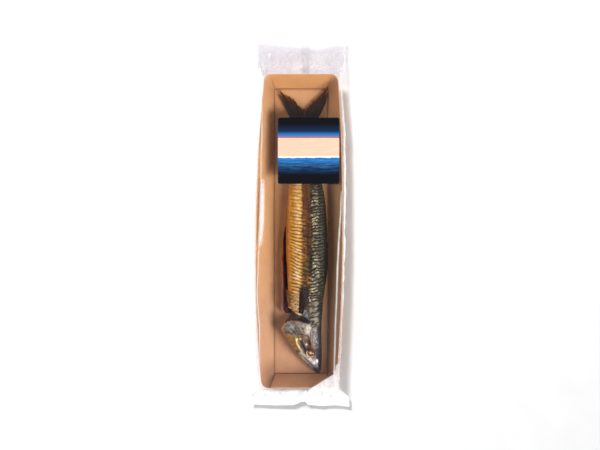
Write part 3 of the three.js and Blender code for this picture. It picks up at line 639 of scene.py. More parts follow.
def head_colour(x, y):
    """Colour of the head, seen from above, with painted highlights, and painted shade in its hollows
    and grooves.
    """
    n1, n2 = fbm(x * 0.5, y * 0.5, 51), fbm(x * 1.6, y * 1.6, 54)
    fan = np.arctan2(y + 140, x - 14)
    rays = noise(fan * 26, np.hypot(x - 14, y + 140) * 0.12, 57)
    colour = mix("5d544b", "a09387", ramp(n1 + 1.3 * rays, -0.7, 0.8))
    colour = mix(colour, "b08b72", ramp(x - 0.4 * (y + 110), -15, -20) * 0.95)
    # Painted shade in the hollow of the gill cover.
    colour = mix(colour, "3e3833", blob(x, y, -7.2, -113.4, 3.6, 2.6) * 0.75)
    for ax, ay, bx, by in ((-14.8, -110.4, -9.2, -104.2), (-11.0, -110.8, -7.4, -105.2)):
        streak = along_line(x, y, [(ax, ay), (bx, by)])[0]
        colour = mix(colour, "b9c4cf", bell(streak / 1.1) * 0.4)
    # Painted highlights on the gill cover.
    colour = mix(colour, "f6ead4", 0.62 * np.clip(1.3 * blob(x, y, 7.9, -109.4, 2.7, 5.8, -14), 0, 1))
    colour = mix(colour, "bdb6ad", blob(x, y, 2.6, -105.4, 3.6, 2.0) * 0.7)
    colour = mix(colour, "f2e6cf", blob(x, y, 5.2, -111.5, 2.2, 1.2, -25) * 0.6)
    colour = mix(colour, "8a4826", 0.8 * blob(x, y, -5.6, -101.0, 4.4, 1.3, 0))
    step = along_line(x, y, STEP)[0]
    below = inside(x, y, BELOW_COVER, 0.7)
    # Throat and the jaw's angle.
    throat = mix("7d5f1c", "b48d45", ramp(n1 + 0.7 * n2, -0.5, 0.7))
    throat = mix(throat, "b27d46", ramp(x - 0.62 * (y + 130), -13.5, -17.5))
    throat = mix(throat, "ad8572", blob(x, y, -7.2, -132.6, 2.6, 2.2) * 0.95)
    # Painted shade in the hollow at the jaw's angle.
    throat = mix(throat, "3a2216", np.clip(1.4 * blob(x, y, -6.0, -138.0, 3.0, 2.6, -50), 0, 1))
    colour = mix(colour, throat, below)
    # Cheek.
    cheek = inside(x, y, CHEEK_PATCH, 0.9)
    cheek_colour = mix("1f120b", "6e4a30", ramp(n1 + 0.9 * n2, -0.1, 0.8))
    colour = mix(colour, cheek_colour, cheek)
    colour = mix(colour, "9c7866", blob(x, y, 4.6, -119.6, 3.2, 2.4) * 0.95)
    colour = mix(colour, "8a6654", blob(x, y, 5.6, -123.6, 2.4, 1.8, -40) * 0.7)
    # Painted shade in the hollow of the cheek.
    colour = mix(colour, "0e0706", np.clip(1.3 * blob(x, y, 9.4, -126.6, 1.5, 2.9, 10), 0, 1))
    colour = mix(colour, "6f4128", blob(x, y, 12.9, -130.6, 3.2, 2.8) * 0.95)
    second = along_line(x, y, SECOND_RIDGE)[0]
    colour = mix(colour, "a08a80", bell(second / 0.55) * 0.7)
    line, share = along_line(x, y, CHEEK)
    colour = mix(colour, mix("f0c988", "e3c4b2", share), np.clip(1.2 * bell(line / 1.05), 0, 1))
    # Painted shade along the groove beside the cheek ridge.
    groove = along_line(x, y, GROOVE)[0]
    colour = mix(colour, "140b08", bell(groove / 0.75) * 0.9)
    # Painted glints on the cheek's bumps.
    painted_glints = ((-4.7, -121.3, 1.15, "ffe99c"), (-0.9, -120.6, 1.15, "fbe2c8"), (6.0, -126.8, 0.95, "f6e2b4"))
    for cx, cy, r, tone in painted_glints:
        colour = mix(colour, tone, np.clip(1.4 * blob(x, y, cx, cy, r, r * 1.15), 0, 1))
    # Painted shade along the step under the gill cover's edge.
    colour = mix(colour, "1c110c", bell(step / 0.7) * 0.85)
    # Lower jaw and snout.
    jaw = inside(x, y, LOWER_JAW, 0.8)
    across = (x + y) * 0.7071
    stripe = noise(across * 0.10, (x - y) * 0.55, 61)
    jaw_colour = mix("8c7c52", "b79a86", ramp(x, -1.5, 2.5))
    jaw_colour = mix(jaw_colour, "d2bda6", ramp(n1 + n2, 0.0, 0.7) * 0.6)
    jaw_colour = mix(jaw_colour, "5a3a2c", ramp(stripe, -0.1, 0.45) * ramp(x, 3, 8) * 0.85)
    colour = mix(colour, jaw_colour, jaw)
    snout = inside(x, y, SNOUT, 0.9)
    snout_colour = mix("5d5258", "ab9fa6", ramp(n1 + n2, -0.5, 0.5))
    colour = mix(colour, snout_colour, snout)
    # Pale along the snout ridge, partly its silver skin and partly painted highlight.
    ridge, share = along_line(x, y, SNOUT_RIDGE)
    pale = mix("cdb994", "e6dde6", ramp(share, 0.3, 0.8))
    colour = mix(colour, pale, np.clip(1.3 * bell(ridge / 1.5), 0, 1))
    # Painted highlights at the end of the snout ridge and, bluish, at the ridge's start.
    colour = mix(colour, "efe9f6", blob(x, y, 14.4, -147.6, 3.0, 1.6, -38))
    colour = mix(colour, "fbf8ff", np.clip(1.4 * blob(x, y, 18.2, -146.2, 1.1, 2.1), 0, 1))
    colour = mix(colour, "9fb0c4", blob(x, y, 0.1, -136.9, 1.3, 1.8) * 0.8)
    lips, share = along_line(x, y, MOUTH)
    colour = mix(colour, "3a251b", bell(lips / 0.6) * ramp(share, 1.0, 0.6) * 0.85)
    # Nape and the top of the head.
    nape = ramp(x + 0.8 * n1 - 0.10 * (-y - 104), 12.2, 14.2)
    line = along_line(x, y, [(9.3, -100.7), (14.0, -108), (16.0, -118), (17.6, -129)])[0]
    silver = bell(line / 2.2) * ramp(n2 + 0.5 * n1, -0.35, 0.3)
    nape_colour = mix("15171d", "2b2c35", ramp(n2, -0.4, 0.6))
    nape_colour = mix(nape_colour, "a29da8", silver)
    on_nape = np.maximum(nape, 0.9 * silver * ramp(x, 11.5, 13))
    colour = mix(colour, nape_colour, on_nape * ramp(y, -146, -142.5))
    colour = mix(colour, "15151c", ramp(x, 18.4, 20.2) * ramp(y, -140, -144))
    grime = ramp(fbm(x * 0.9, y * 0.9, 63) + 0.5 * n1, -0.1, 0.55)
    colour = mix(colour, colour * hexcol("8a7a6c"), 0.5 * grime + 0.22)
    colour = mix(colour, "241f24", ramp(y, -151.5, -155.5) * ramp(x, 10, 15))
    away = np.hypot(x - EYE[0], y - EYE[1])
    colour = mix(colour, "120b08", ramp(away, 6.2, 4.8) * (0.5 + 0.5 * ramp(y + 0.6 * x, -128, -132)))
    rim = bell((away - 4.4) / 0.55) * ramp(y + 0.8 * x, -126.5, -130.5)
    return mix(colour, "cdbb9e", rim * 0.9)


def mackerel_body():
    """The whole fish but its fins and eye, as rings from snout to tail."""
    head = np.arange(-160.4, -92, 0.34)
    places = np.concatenate([
        -160.4 - np.array([0.9, 0.78, 0.54, 0.27]), head,
        np.arange(-92, 100, 0.5), np.arange(100, 121.01, 0.6),
    ])
    pinch = np.zeros(len(places))
    pinch[:4] = [0.96, 0.6, 0.3, 0.1]
    upper, lower = 180, 70
    angle = np.concatenate([
        np.linspace(-0.12, math.pi + 0.12, upper, endpoint=False),
        np.linspace(math.pi + 0.12, 2 * math.pi - 0.12, lower, endpoint=False),
    ])
    y = np.maximum(places, -160.4)
    points = body_rings(y, angle, pinch[:, None])
    points[..., 1] = places[:, None]
    # Creases and the head are laid out over the upper flank, and the flank below mirrors it.
    mirrored = body_rings(y, np.abs((angle + math.pi) % (2 * math.pi) - math.pi), pinch[:, None])
    fx, fy = mirrored[..., 0], points[..., 1]
    profile, strength, painted_shine = wrinkles(fx, fy)
    below = smooth(-np.sin(angle)[None, :] * 3)
    rise = 0.85 * (profile - 0.6) * strength
    rise = rise + 0.3 * fbm(fx * 0.09, fy * 0.07, 71) + 0.12 * fbm(fx * 0.5, fy * 0.5, 73)
    rise = rise * ramp(fy, -160, -156) + head_shape(fx, fy) * (1 - 0.7 * below)
    # The gutting cut: the belly line is drawn in, most in the middle of its length.
    cut = smooth(1 - np.abs((fy + 36) / 64))
    turn = np.abs(np.broadcast_to(angle[None, :], fx.shape) - math.pi - 0.16)
    rise = rise - 9.0 * cut * ramp(turn, 0.30, 0.06)
    normal = np.cross(np.roll(points, -1, 1) - np.roll(points, 1, 1), np.gradient(points, axis=0))
    normal /= np.maximum(np.linalg.norm(normal, axis=-1, keepdims=True), 1e-9)
    outward = np.sign(np.sum(normal * (points - points.mean(1, keepdims=True)), -1, keepdims=True))
    points = points + normal * outward * rise[..., None]
    points[..., 2] = np.maximum(points[..., 2], REST)
    colour = shoulder_colour(fx, fy, flank_colour(fx, fy, profile, strength, painted_shine))
    on_head = np.maximum(inside(fx, fy, HEAD, 0.6), ramp(fy, -112, -116))
    colour = mix(colour, head_colour(fx, fy), on_head)
    # The open gill: its dark lining, with painted shade deep in the opening.
    gap = inside(fx, fy, GILL_GAP, 0.6)
    inner = mix("12080b", "3a1c26", ramp(fbm(fx * 0.4, fy * 0.4, 84) - 0.05 * (fx + 8), -0.3, 0.9))
    colour = mix(colour, inner, gap)
    colour = mix(colour, "f0d9bc", blob(fx, fy, -1.6, -92.6, 1.2, 1.7, 20) * 0.9)
    # Along the drawn-in belly line: the cut's dark red with painted shade in its slit.
    colour = mix(colour, "3c1418", cut * ramp(turn, 0.34, 0.14))
    wet = np.clip(0.6 * strength * profile + 0.5 * on_head + 0.6 * painted_shine, 0, 1)
    count = len(angle)
    flat = points.reshape(-1, 3)
    faces = grid_faces(len(places), count, closed=True, flip=True)
    faces += [list(range(count)), [len(flat) - 1 - i for i in range(count)]]
    return new_mesh("mackerel_body", flat, faces, skin_material(), colour.reshape(-1, 3),
                    {"wet": wet})


def mackerel_eye():
    """The eyeball: a flattened dome with a dark rim, a brown iris and a clouded, pale pupil."""
    rings, turns = 40, 64
    r = np.linspace(0, 1, rings) ** 0.9
    t = np.linspace(0, 2 * math.pi, turns, endpoint=False)
    rr, tt = np.meshgrid(r, t, indexing="ij")
    size = 4.3
    dome = 2.1 * np.sqrt(np.maximum(1 - rr**2.2, 0)) - 0.9
    dome = dome - 0.3 * bell((rr - 0.42) / 0.08)
    points = np.stack([EYE[0] + rr * size * np.cos(tt), EYE[1] + rr * size * np.sin(tt), 24.4 + dome], -1)
    spread = rr + 0.07 * noise(np.cos(tt) * 3 + 7, np.sin(tt) * 3 + 7, 91)
    colour = mix("ffd0a0", "9a5424", ramp(spread, 0.1, 0.28))
    colour = mix(colour, "4a2814", ramp(spread, 0.42, 0.7))
    colour = mix(colour, "22120b", ramp(spread, 0.8, 0.95))
    faces = grid_faces(rings, turns, closed=True)
    return new_mesh("mackerel_eye", points.reshape(-1, 3), faces, eye_material(),
                    colour.reshape(-1, 3))


def fin_sheet(name, root, tip, thickness, rays, colours, seed, fray, grid, lift=None):
    """A rayed fin between a line of root points and a line of tip points, thicker at its rays."""
    root, tip = np.array(root, float), np.array(tip, float)
    (base, edge), (columns, rows) = colours, grid

    def resample(line):
        steps = np.concatenate([[0], np.cumsum(np.linalg.norm(np.diff(line, axis=0), axis=1))])
        at = np.linspace(0, steps[-1], columns)
        return np.stack([np.interp(at, steps, line[:, k]) for k in range(3)], -1)

    a, b = resample(root), resample(tip)
    s = np.linspace(0, 1, columns)[None, :]
    t = np.linspace(0, 1, rows)[:, None]
    ray = 0.5 + 0.5 * np.cos(2 * math.pi * s * rays)
    reach = 1 + fray * 0.06 * noise(s * rays * 1.3 + seed, s * 0 + 3, seed + 1)
    reach = reach - fray * 0.05 * (1 - ray) ** 2
    middle = a[None] * (1 - t[..., None] * reach[..., None]) + b[None] * (t * reach)[..., None]
    normal = np.cross(np.gradient(middle, axis=1), np.gradient(middle, axis=0))
    normal /= np.maximum(np.linalg.norm(normal, axis=-1, keepdims=True), 1e-9)
    bow = 0.35 * noise(s * 6 + seed, t * 2.0, seed + 2) + 0.18 * (ray - 0.5)
    middle = middle + normal * bow[..., None]
    if lift is not None:
        middle[..., 2] += lift(s, t)
    half = (thickness * (0.35 + 0.65 * ray) * (1 - 0.75 * t) + 0.05) / 2
    points, faces = two_sided(middle + normal * half[..., None], middle - normal * half[..., None])
    mottled = ramp(noise(s * rays * 2 + 5, t * 9, seed + 3) + 0.8 * (ray - 0.5), -0.3, 0.7)
    colour = mix(base, edge, 0.35 * mottled * ramp(t, 0.2, 0.9))
    sides = np.maximum(ramp(s, 0.05, 0.0), ramp(s, 0.95, 1.0)) * ramp(t, 0.25, 0.6)
    rim = np.maximum(ramp(t * np.ones_like(s), 0.86, 0.99), sides)
    colour = mix(colour, edge, 0.8 * rim)
    both = np.concatenate([colour.reshape(-1, 3)] * 2)
    return new_mesh(name, points, faces, FIN_MATERIAL, both)


def on_body(y, angle, out=0.0):
    """Points on the plain body at each y and angle, moved out from the middle by so much."""
    y = np.atleast_1d(np.asarray(y, float))
    angle = np.broadcast_to(np.asarray(angle, float), y.shape)
    rings = np.array([body_rings(np.array([a]), np.array([b]))[0, 0] for a, b in zip(y, angle)])
    centre = np.array([body_rings(np.array([a]), np.array([0, math.pi]))[0].mean(0) for a in y])
    away = rings - centre
    away /= np.linalg.norm(away, axis=1, keepdims=True)
    return rings + away * np.reshape(out, (-1, 1))


def tail_fin():
    """Two lobes of rays that spread from the root of the tail."""
    def lobe(name, root, tip, seed):
        def sag(s, t):
            return -2.75 * t + 0.6 * noise(s * 3 + seed, t * 3, seed)

        fin_sheet(name, root, tip, 0.9, 17, ("170e09", "6e3814"), seed, 1.0, (150, 70), sag)
    belly = [(5.6, 116, 9.2), (4.6, 113, 9.2), (3.2, 110, 9.2), (1.4, 106, 9.3)]
    tips = [(3.8, 138.4, 9.0), (-1.1, 141.6, 9.0), (-8.7, 150.1, 9.0), (-15.0, 154.6, 9.0),
            (-23.0, 158.8, 9.0), (-23.4, 152.4, 9.0), (-18.9, 141.6, 9.1), (-13.8, 130.8, 9.2), (-9.0, 122, 9.2)]
    lobe("tail_fin_lower", belly, tips, 3)
    back = [(9.0, 106, 9.3), (8.4, 110, 9.2), (7.0, 113, 9.2), (5.0, 116, 9.2)]
    tips = [(17.6, 124, 9.2), (23.0, 134.8, 9.2), (28.7, 146.2, 9.1), (30.6, 156, 9.0), (30.1, 162.4, 9.0),
            (25.2, 158.9, 9.0), (15.9, 149.6, 9.0), (8.4, 142.0, 9.0), (3.2, 138.0, 9.0)]
    lobe("tail_fin_upper", back, tips, 7)


SMALL_FIN = ("2a2118", "6b4420")


def small_fins():
    """The anal fin, the dorsal fins and the rows of finlets along back and belly."""
    back, belly = 0.0, math.pi
    y = np.linspace(54, 71, 8)
    for name, side, seed in (("second_dorsal_fin", back, 11), ("anal_fin", belly, 13)):
        high = np.array([0.6, 3.2, 4.6, 3.4, 2.2, 1.5, 1.0, 0.5])
        fin_sheet(name, on_body(y, side, -0.6), on_body(y + 2.2, side, high), 0.7, 9,
                  SMALL_FIN, seed, 0.6, (60, 20))
    for k, at in enumerate((75.5, 81.5, 87.5, 93, 98)):
        y = np.linspace(at - 2.0, at + 1.6, 5)
        for name, side in (("dorsal", back), ("ventral", belly)):
            high = np.array([0.3, 1.6, 2.2, 1.8, 0.9])
            fin_sheet(f"{name}_finlet_{k + 1}", on_body(y, side, -0.5), on_body(y + 1.8, side, high), 0.5, 4,
                      SMALL_FIN, 20 + k, 0.5, (20, 10))
    y = np.linspace(-62, -16, 12)
    high = 0.4 + 1.6 * np.sin(np.linspace(0.25, 2.9, 12))
    fin_sheet("first_dorsal_fin", on_body(y, back, -0.6), on_body(y + 2.5, back, high), 0.8, 11,
              ("191a18", "3a3226"), 31, 0.6, (90, 16))


def side_fins():
    """The pectoral fin, folded back along the flank, and the pelvic fin beside the cut."""
    root = [(-2.4, -91.0, 31.4), (-0.6, -93.0, 32.2), (1.2, -93.4, 32.8), (2.6, -91.8, 33.2)]
    tip = [(-1.6, -70, 35.4), (0.4, -62.5, 36.4), (1.8, -62, 36.8), (5.2, -74, 36.6)]
    fin_sheet("pectoral_fin", root, tip, 0.8, 9, ("241b1a", "4c3a30"), 41, 1.6, (90, 50))
    root = [(-15.2, -84, 22.6), (-14.8, -84.4, 24.0), (-14.2, -84.8, 25.6)]
    tip = [(-16.6, -69, 22.4), (-16.2, -65, 24.6), (-15.4, -68, 27.4)]
    fin_sheet("pelvic_fin", root, tip, 0.7, 7, ("4a3020", "a06a3a"), 43, 0.7, (50, 30))


def belly_flap():
    """The lower wall of the cut belly, which stands out beyond the upper flank, with its dark lining
    darkened further by painted shade.
    """
    rows, columns = 180, 26
    y = np.linspace(-93, 8, rows)
    s = np.linspace(0, 1, columns)
    yy, ss = np.meshgrid(y, s, indexing="ij")
    along = (yy + 93) / 101
    reach = np.interp(yy, [-93, -89, -80, -66, -30, -10, 4, 8], [3.5, 8.0, 8.3, 8.0, 5.9, 5.0, 2.4, 0.0])
    reach = reach + 0.5 * noise(yy * 0.12, ss * 0 + 1, 93)
    left = BODY(y)[:, :1]
    x = left + 5.5 - (5.0 + reach) * ss + 0.4 * noise(yy * 0.2, ss * 3, 95) * ss
    z = 6.0 + 5.0 * ss**1.3 + 2.6 * np.sin(np.pi * along) * ss + 0.8 * noise(yy * 0.16, ss * 2, 97) * ss
    curl = 1.8 * ramp(ss, 0.75, 1.0)
    x, z = x + curl * 0.3, z + curl
    middle = np.stack([x, yy, z], -1)
    normal = np.cross(np.gradient(middle, axis=0), np.gradient(middle, axis=1))
    normal /= np.linalg.norm(normal, axis=-1, keepdims=True)
    half = (1.6 - 1.1 * ss)[..., None] / 2
    points, faces = two_sided(middle + normal * half, middle - normal * half)
    # The lining's own dark red, darkened further as painted shade.
    lining = mix("2a0f14", "5c2f28", ramp(fbm(yy * 0.25, ss * 6, 99), -0.4, 0.6))
    lip = mix("b04a24", "9a6258", ramp(yy, -30, -60))
    colour = mix(lining, lip, ramp(ss, 0.72, 0.95))
    outer = mix("8a5320", "b0722e", ramp(fbm(yy * 0.3, ss * 5, 101), -0.4, 0.5))
    both = np.concatenate([colour.reshape(-1, 3), outer.reshape(-1, 3)])
    wet = np.full(len(points), 0.5)
    return new_mesh("belly_flap", points, faces, skin_material(), both, {"wet": wet})


# ---------------------------------------------------------------- tray

BOARD = 0.6
TRAY_Z, TRAY_HEIGHT = 0.6, 31.0
BASE = (31.2, 163.0)
LEAN = (10.6, 13.0)


def tray_half_width(y, side, up):
    by, at, to_head, to_tail = (9, -30, 165, 193) if side < 0 else (5, 10, 155, 160)
    t = np.clip(np.abs(y - at) / np.where(y < at, to_head, to_tail), 0, 1)
    return BASE[0] + up * (LEAN[0] + by * (1 - t**2.2))


def tray_loop(up, inset, z):
    """One loop round the tray at a height; returns its points and how near each is to a corner."""
    half_length = BASE[1] + up * LEAN[1] - inset
    corner = 1.2 + up * 7.8
    points, nearness = [], []
    for side, end in ((1, -1), (1, 1), (-1, 1), (-1, -1)):
        width = tray_half_width(end * (half_length - corner), side, up) - inset - corner
        steps = 14
        for i in range(steps + 1):
            turn = (i if side * end > 0 else steps - i) / steps * math.pi / 2
            x = side * (width + corner * math.cos(turn))
            points.append((x, end * (half_length - corner + corner * math.sin(turn)), z))
            nearness.append(1.0)
        straight = 150 if side * end < 0 else 36
        for i in range(1, straight):
            t = i / straight
            if side * end < 0:
                y = end * (half_length - corner) * (1 - 2 * t)
                points.append((side * (tray_half_width(y, side, up) - inset), y, z))
                nearness.append(float(smooth(1 - min(t, 1 - t) * 14)))
            else:
                other = tray_half_width(end * (half_length - corner), -side, up) - inset - corner
                points.append((side * (width * (1 - t) - other * t), end * half_length, z))
                nearness.append(float(smooth(1 - min(t, 1 - t) * 5)))
    return np.array(points), np.array(nearness)


def tray():
    """The folded board: walls that bow a little, rounded rims, and a crease at each fold."""
    ups = np.concatenate([[0, 0.012, 0.03], np.linspace(0.06, 1, 26)])
    loops, shades = [], []
    crease, rim = hexcol("6e4226"), hexcol("d8ab84")

    def kraft(y):
        # A little lighter towards the tail, and darker at the head end as painted shade from the end wall and
        # the film's fold.
        plain = mix("be906e", "c89668", ramp(y, -110, 10))
        return mix(hexcol("a67a60"), plain, ramp(y, -166, -136))

    def wall(up, inset):
        loop, near = tray_loop(up, inset, TRAY_Z + BOARD * (inset > 0) * (1 - up) + up * TRAY_HEIGHT)
        x, y = loop[:, 0], loop[:, 1]
        bow = 0.5 * noise(y * 0.012 + 3, x * 0.03 + up * 2, 111) * math.sin(math.pi * up)
        dip = 0.35 * noise(y * 0.02, x * 0.02 + 9, 113) * up
        side_wall = np.abs(y) < BASE[1] - 2
        loop[:, 0] += np.where(side_wall, np.sign(x) * bow, 0)
        loop[:, 2] += dip * up**6
        return loop, near

    for up in ups:
        loop, near = wall(up, BOARD)
        loops.append(loop)
        tone = mix(kraft(loop[:, 1]), crease, 0.85 * math.exp(-((up / 0.022) ** 2)))
        # Painted shade: darker near the corners, most towards the base.
        tone = mix(tone, crease, 0.35 * near * ramp(up, 1.0, 0.2))
        shades.append(tone)
    # The rim's top edge, lighter as a painted highlight.
    loop, _ = wall(1.0, BOARD * 0.5)
    loop[:, 2] += 0.12
    loops.append(loop)
    shades.append(np.tile(rim, (len(loop), 1)))
    for up in ups[::-1]:
        loop, near = wall(up, 0.0)
        loops.append(loop)
        tone = mix(kraft(loop[:, 1]), crease, 0.6 * math.exp(-((up / 0.02) ** 2)))
        shades.append(tone)
    count = len(loops[0])
    points = np.concatenate(loops)
    colour = np.concatenate(shades)
    faces = grid_faces(len(loops), count, closed=True)

    # The base, as rings that shrink towards its middle, on its inner and outer faces.
    def base_face(first, z, flip):
        nonlocal points, colour, faces
        ring = points[first : first + count]
        previous = first
        for share in (0.985, 0.9, 0.7, 0.4):
            inner = ring.copy()
            inner[:, 0] *= share
            inner[:, 1] = np.sign(ring[:, 1]) * np.maximum(np.abs(ring[:, 1]) - (1 - share) * 31, 0)
            inner[:, 2] = z
            start = len(points)
            points = np.concatenate([points, inner])
            shade = mix(kraft(inner[:, 1]), crease, 0.04 + 0.3 * (share > 0.98))
            colour = np.concatenate([colour, shade])
            for i in range(count):
                j = (i + 1) % count
                quad = [previous + i, previous + j, start + j, start + i]
                faces.append(quad[::-1] if flip else quad)
            previous = start
        cap = list(range(previous, previous + count))
        faces.append(cap[::-1] if flip else cap)

    base_face(0, TRAY_Z + BOARD, False)
    base_face((len(loops) - 1) * count, TRAY_Z, True)
    return new_mesh("tray_board", points, faces, board_material(), colour)


def end_flap(end):
    """The end wall's own board, in front of the corner tabs that are glued behind it."""
    rows, columns = 24, 180
    u = np.linspace(-1, 1, columns)[None, :]
    t = np.linspace(0, 1, rows)[:, None]
    half = BASE[0] - 1.6 + 5.2 * t
    x = u * half * np.ones_like(t)
    up = 0.03 + 0.95 * t - 0.02 * np.abs(u) ** 6
    y = end * (BASE[1] + up * LEAN[1] - BOARD * 1.15 - 0.15) + 0 * u
    y = y - end * 0.3 * np.sin(np.pi * t) * noise(u * 2 + 4, t, 121 + end)
    z = TRAY_Z + BOARD + up * (TRAY_HEIGHT - BOARD) + 0 * u
    front = np.stack([x, y, z], -1)
    points, faces = two_sided(front, front + np.array([0, end * 0.42, 0]), flip=end > 0)
    edge_gap = half - np.abs(x)
    kraft = hexcol("cf955c") if end > 0 else hexcol("c8946c")
    # Painted shadow: dark along the flap's side edges over the gap behind them, and darker at its foot.
    shade = mix(kraft, "54301a", 0.9 * bell(edge_gap / 0.6))
    shade = mix(shade, "8f5b3a", 0.45 * bell(t / 0.04) + 0 * u)
    both = np.concatenate([shade.reshape(-1, 3)] * 2)
    name = "tray_end_tail" if end > 0 else "tray_end_head"
    return new_mesh(name, points, faces, board_material(), both)


# ---------------------------------------------------------------- film sleeve

# For each place along Y: x of the base corner, side and rim on the -X side, the same from the rim
# outwards on the +X side, then z of the bottom, side, rim and of the crown between the rims.
SLEEVE = through([
    [-198.4, -57.0, -57.1, -57.0, 55.2, 55.3, 55.2, 7.2, 7.4, 7.6, 7.7],
    [-194, -56.4, -56.6, -56.4, 54.6, 54.8, 54.6, 7.9, 8.1, 8.3, 8.4],
    [-188.5, -55.6, -56.0, -55.6, 54.0, 54.4, 54.0, 8.2, 8.6, 9.0, 9.0],
    [-183, -47, -52.0, -50.0, 48.5, 50.5, 46.0, 5.6, 14.0, 19.0, 20.5],
    [-178.5, -38, -49.2, -46.0, 44.5, 47.6, 38.0, 2.6, 17.0, 30.0, 31.6],
    [-172, -34, -50.0, -46.4, 43.6, 45.8, 34.5, 0.1, 18.0, 32.6, 33.0],
    [-160, -33.6, -50.6, -47.2, 43.4, 44.8, 33.8, 0.1, 18.0, 32.7, 33.1],
    [-134, -33.6, -51.6, -48.8, 44.2, 46.0, 33.8, 0.1, 19.0, 32.7, 33.2],
    [-105, -33.6, -52.6, -50.4, 45.6, 47.4, 33.8, 0.1, 20.0, 32.7, 33.4],
    [-70, -33.6, -53.2, -51.6, 46.8, 48.8, 33.8, 0.1, 20.0, 32.7, 33.4],
    [-30, -33.6, -53.4, -52.0, 47.6, 50.2, 33.8, 0.1, 20.0, 32.7, 33.4],
    [7, -33.6, -53.4, -51.8, 48.0, 51.4, 33.8, 0.1, 20.0, 32.7, 33.4],
    [30, -33.6, -53.2, -51.3, 48.0, 51.8, 33.8, 0.1, 20.0, 32.7, 33.4],
    [50, -33.6, -52.9, -50.7, 47.8, 52.0, 33.8, 0.1, 20.0, 32.7, 33.4],
    [66, -33.6, -52.4, -50.1, 47.5, 52.0, 33.8, 0.1, 20.0, 32.7, 33.3],
    [84, -33.6, -51.8, -49.2, 47.1, 52.0, 33.8, 0.1, 20.0, 32.7, 33.2],
    [105, -33.6, -50.8, -47.9, 46.5, 51.8, 33.8, 0.1, 20.0, 32.7, 33.2],
    [128, -33.6, -49.8, -46.2, 45.5, 50.4, 33.8, 0.1, 19.0, 32.7, 33.1],
    [150, -33.6, -48.8, -44.5, 44.4, 48.4, 33.8, 0.1, 18.0, 32.7, 33.1],
    [171, -34.5, -47.6, -43.4, 43.0, 47.6, 34.5, 0.1, 17.0, 32.6, 33.0],
    [179, -38, -47.4, -44.2, 43.2, 49.4, 38.0, 1.6, 17.0, 30.2, 31.4],
    [187, -44, -48.4, -47.0, 46.0, 50.0, 44.0, 4.4, 13.0, 20.6, 21.6],
    [196, -49.4, -50.8, -50.0, 48.0, 49.4, 47.6, 6.8, 10.6, 13.2, 13.6],
    [203, -51.0, -51.4, -51.0, 50.6, 51.0, 50.6, 8.6, 9.0, 9.4, 9.4],
    [208, -51.3, -51.6, -51.3, 52.6, 52.9, 52.6, 8.2, 8.4, 8.6, 8.7],
    [212.6, -51.5, -51.8, -51.5, 54.9, 55.1, 54.9, 7.4, 7.6, 7.8, 7.9],
])


# Along X, where the film's two long edges lie under the tray: the lap is between them.
SEAM = (0.5, 9.5)
LAP_GAP = 0.14
FILM_CLEARANCE = 0.12  # least height of the film over the floor
RIM_CLEARANCE = 32.5  # least height of the film over the tray's end rims
RIM_END = 177.0  # how far along Y the rims reach, with the film's bend
# Painted glare on the film, as milky strips, in plan: its line, half width and strength.
PAINTED_GLARE_STRIPS = [
    ([(-43.6, 172), (-43.6, 107), (-44.7, 80), (-44.7, 60), (-43.8, 46)], 0.65, 0.7),
    ([(-43.0, 56), (-43.4, 30), (-43.8, 8), (-45.8, -14)], 2.5, 1.0),
    ([(-45.2, -6), (-47.2, -24), (-48.4, -54), (-49.2, -68), (-48.0, -88), (-46.4, -104), (-45.9, -150)],
     0.65, 0.75),
    ([(45.0, 44), (44.4, 20), (42.8, -1), (41.4, -28), (40.3, -54), (39.5, -81), (38.4, -108), (37.6, -140),
      (37.0, -163)], 0.75, 0.85),
    ([(48.6, 150), (50.2, 90), (50.4, 30), (49.6, -20), (47.8, -80), (45.6, -130), (44.6, -165)], 2.0, 0.7),
]
# The fold at the head end that covers the tray's corner.
HEAD_FOLD = [(9, -177.5), (23.5, -168), (36.9, -159.9), (39.5, -150), (47, -141), (56, -160), (56, -186),
             (9, -186)]


def crown_over_fish(y, x):
    """Height of film pulled tight from rim to rim over the fish, at each y and x."""
    row = SLEEVE(y)
    rim_left, rim_right, rim_z = row[:, 2], row[:, 3], row[:, 8]
    inside_fish = (y > -160) & (y < 120)
    fish = body_rings(np.clip(y, -160, 120), np.linspace(0.15, math.pi - 0.15, 60))
    height = np.empty((len(y), len(x)))
    for i in range(len(y)):
        hull = [(rim_left[i], rim_z[i])]
        if inside_fish[i]:
            hull += [(p[0], p[2] + 0.45) for p in fish[i][::-1] if p[2] > rim_z[i] - 2]
        hull.append((rim_right[i], rim_z[i]))
        upper = []
        for p in sorted(hull):
            while len(upper) > 1 and (
                (upper[-1][0] - upper[-2][0]) * (p[1] - upper[-2][1])
                >= (upper[-1][1] - upper[-2][1]) * (p[0] - upper[-2][0])
            ):
                upper.pop()
            upper.append(p)
        hx, hz = np.array(upper).T
        height[i] = np.interp(x, hx, hz)
    # The film doesn't follow every bump along its length, so the heights are smoothed along Y.
    kernel = np.hanning(61)
    kernel /= kernel.sum()
    padded = np.pad(height, ((30, 30), (0, 0)), mode="edge")
    eased = np.stack([np.convolve(padded[:, k], kernel, mode="valid") for k in range(len(x))], 1)
    return np.maximum(eased, height - 0.05)


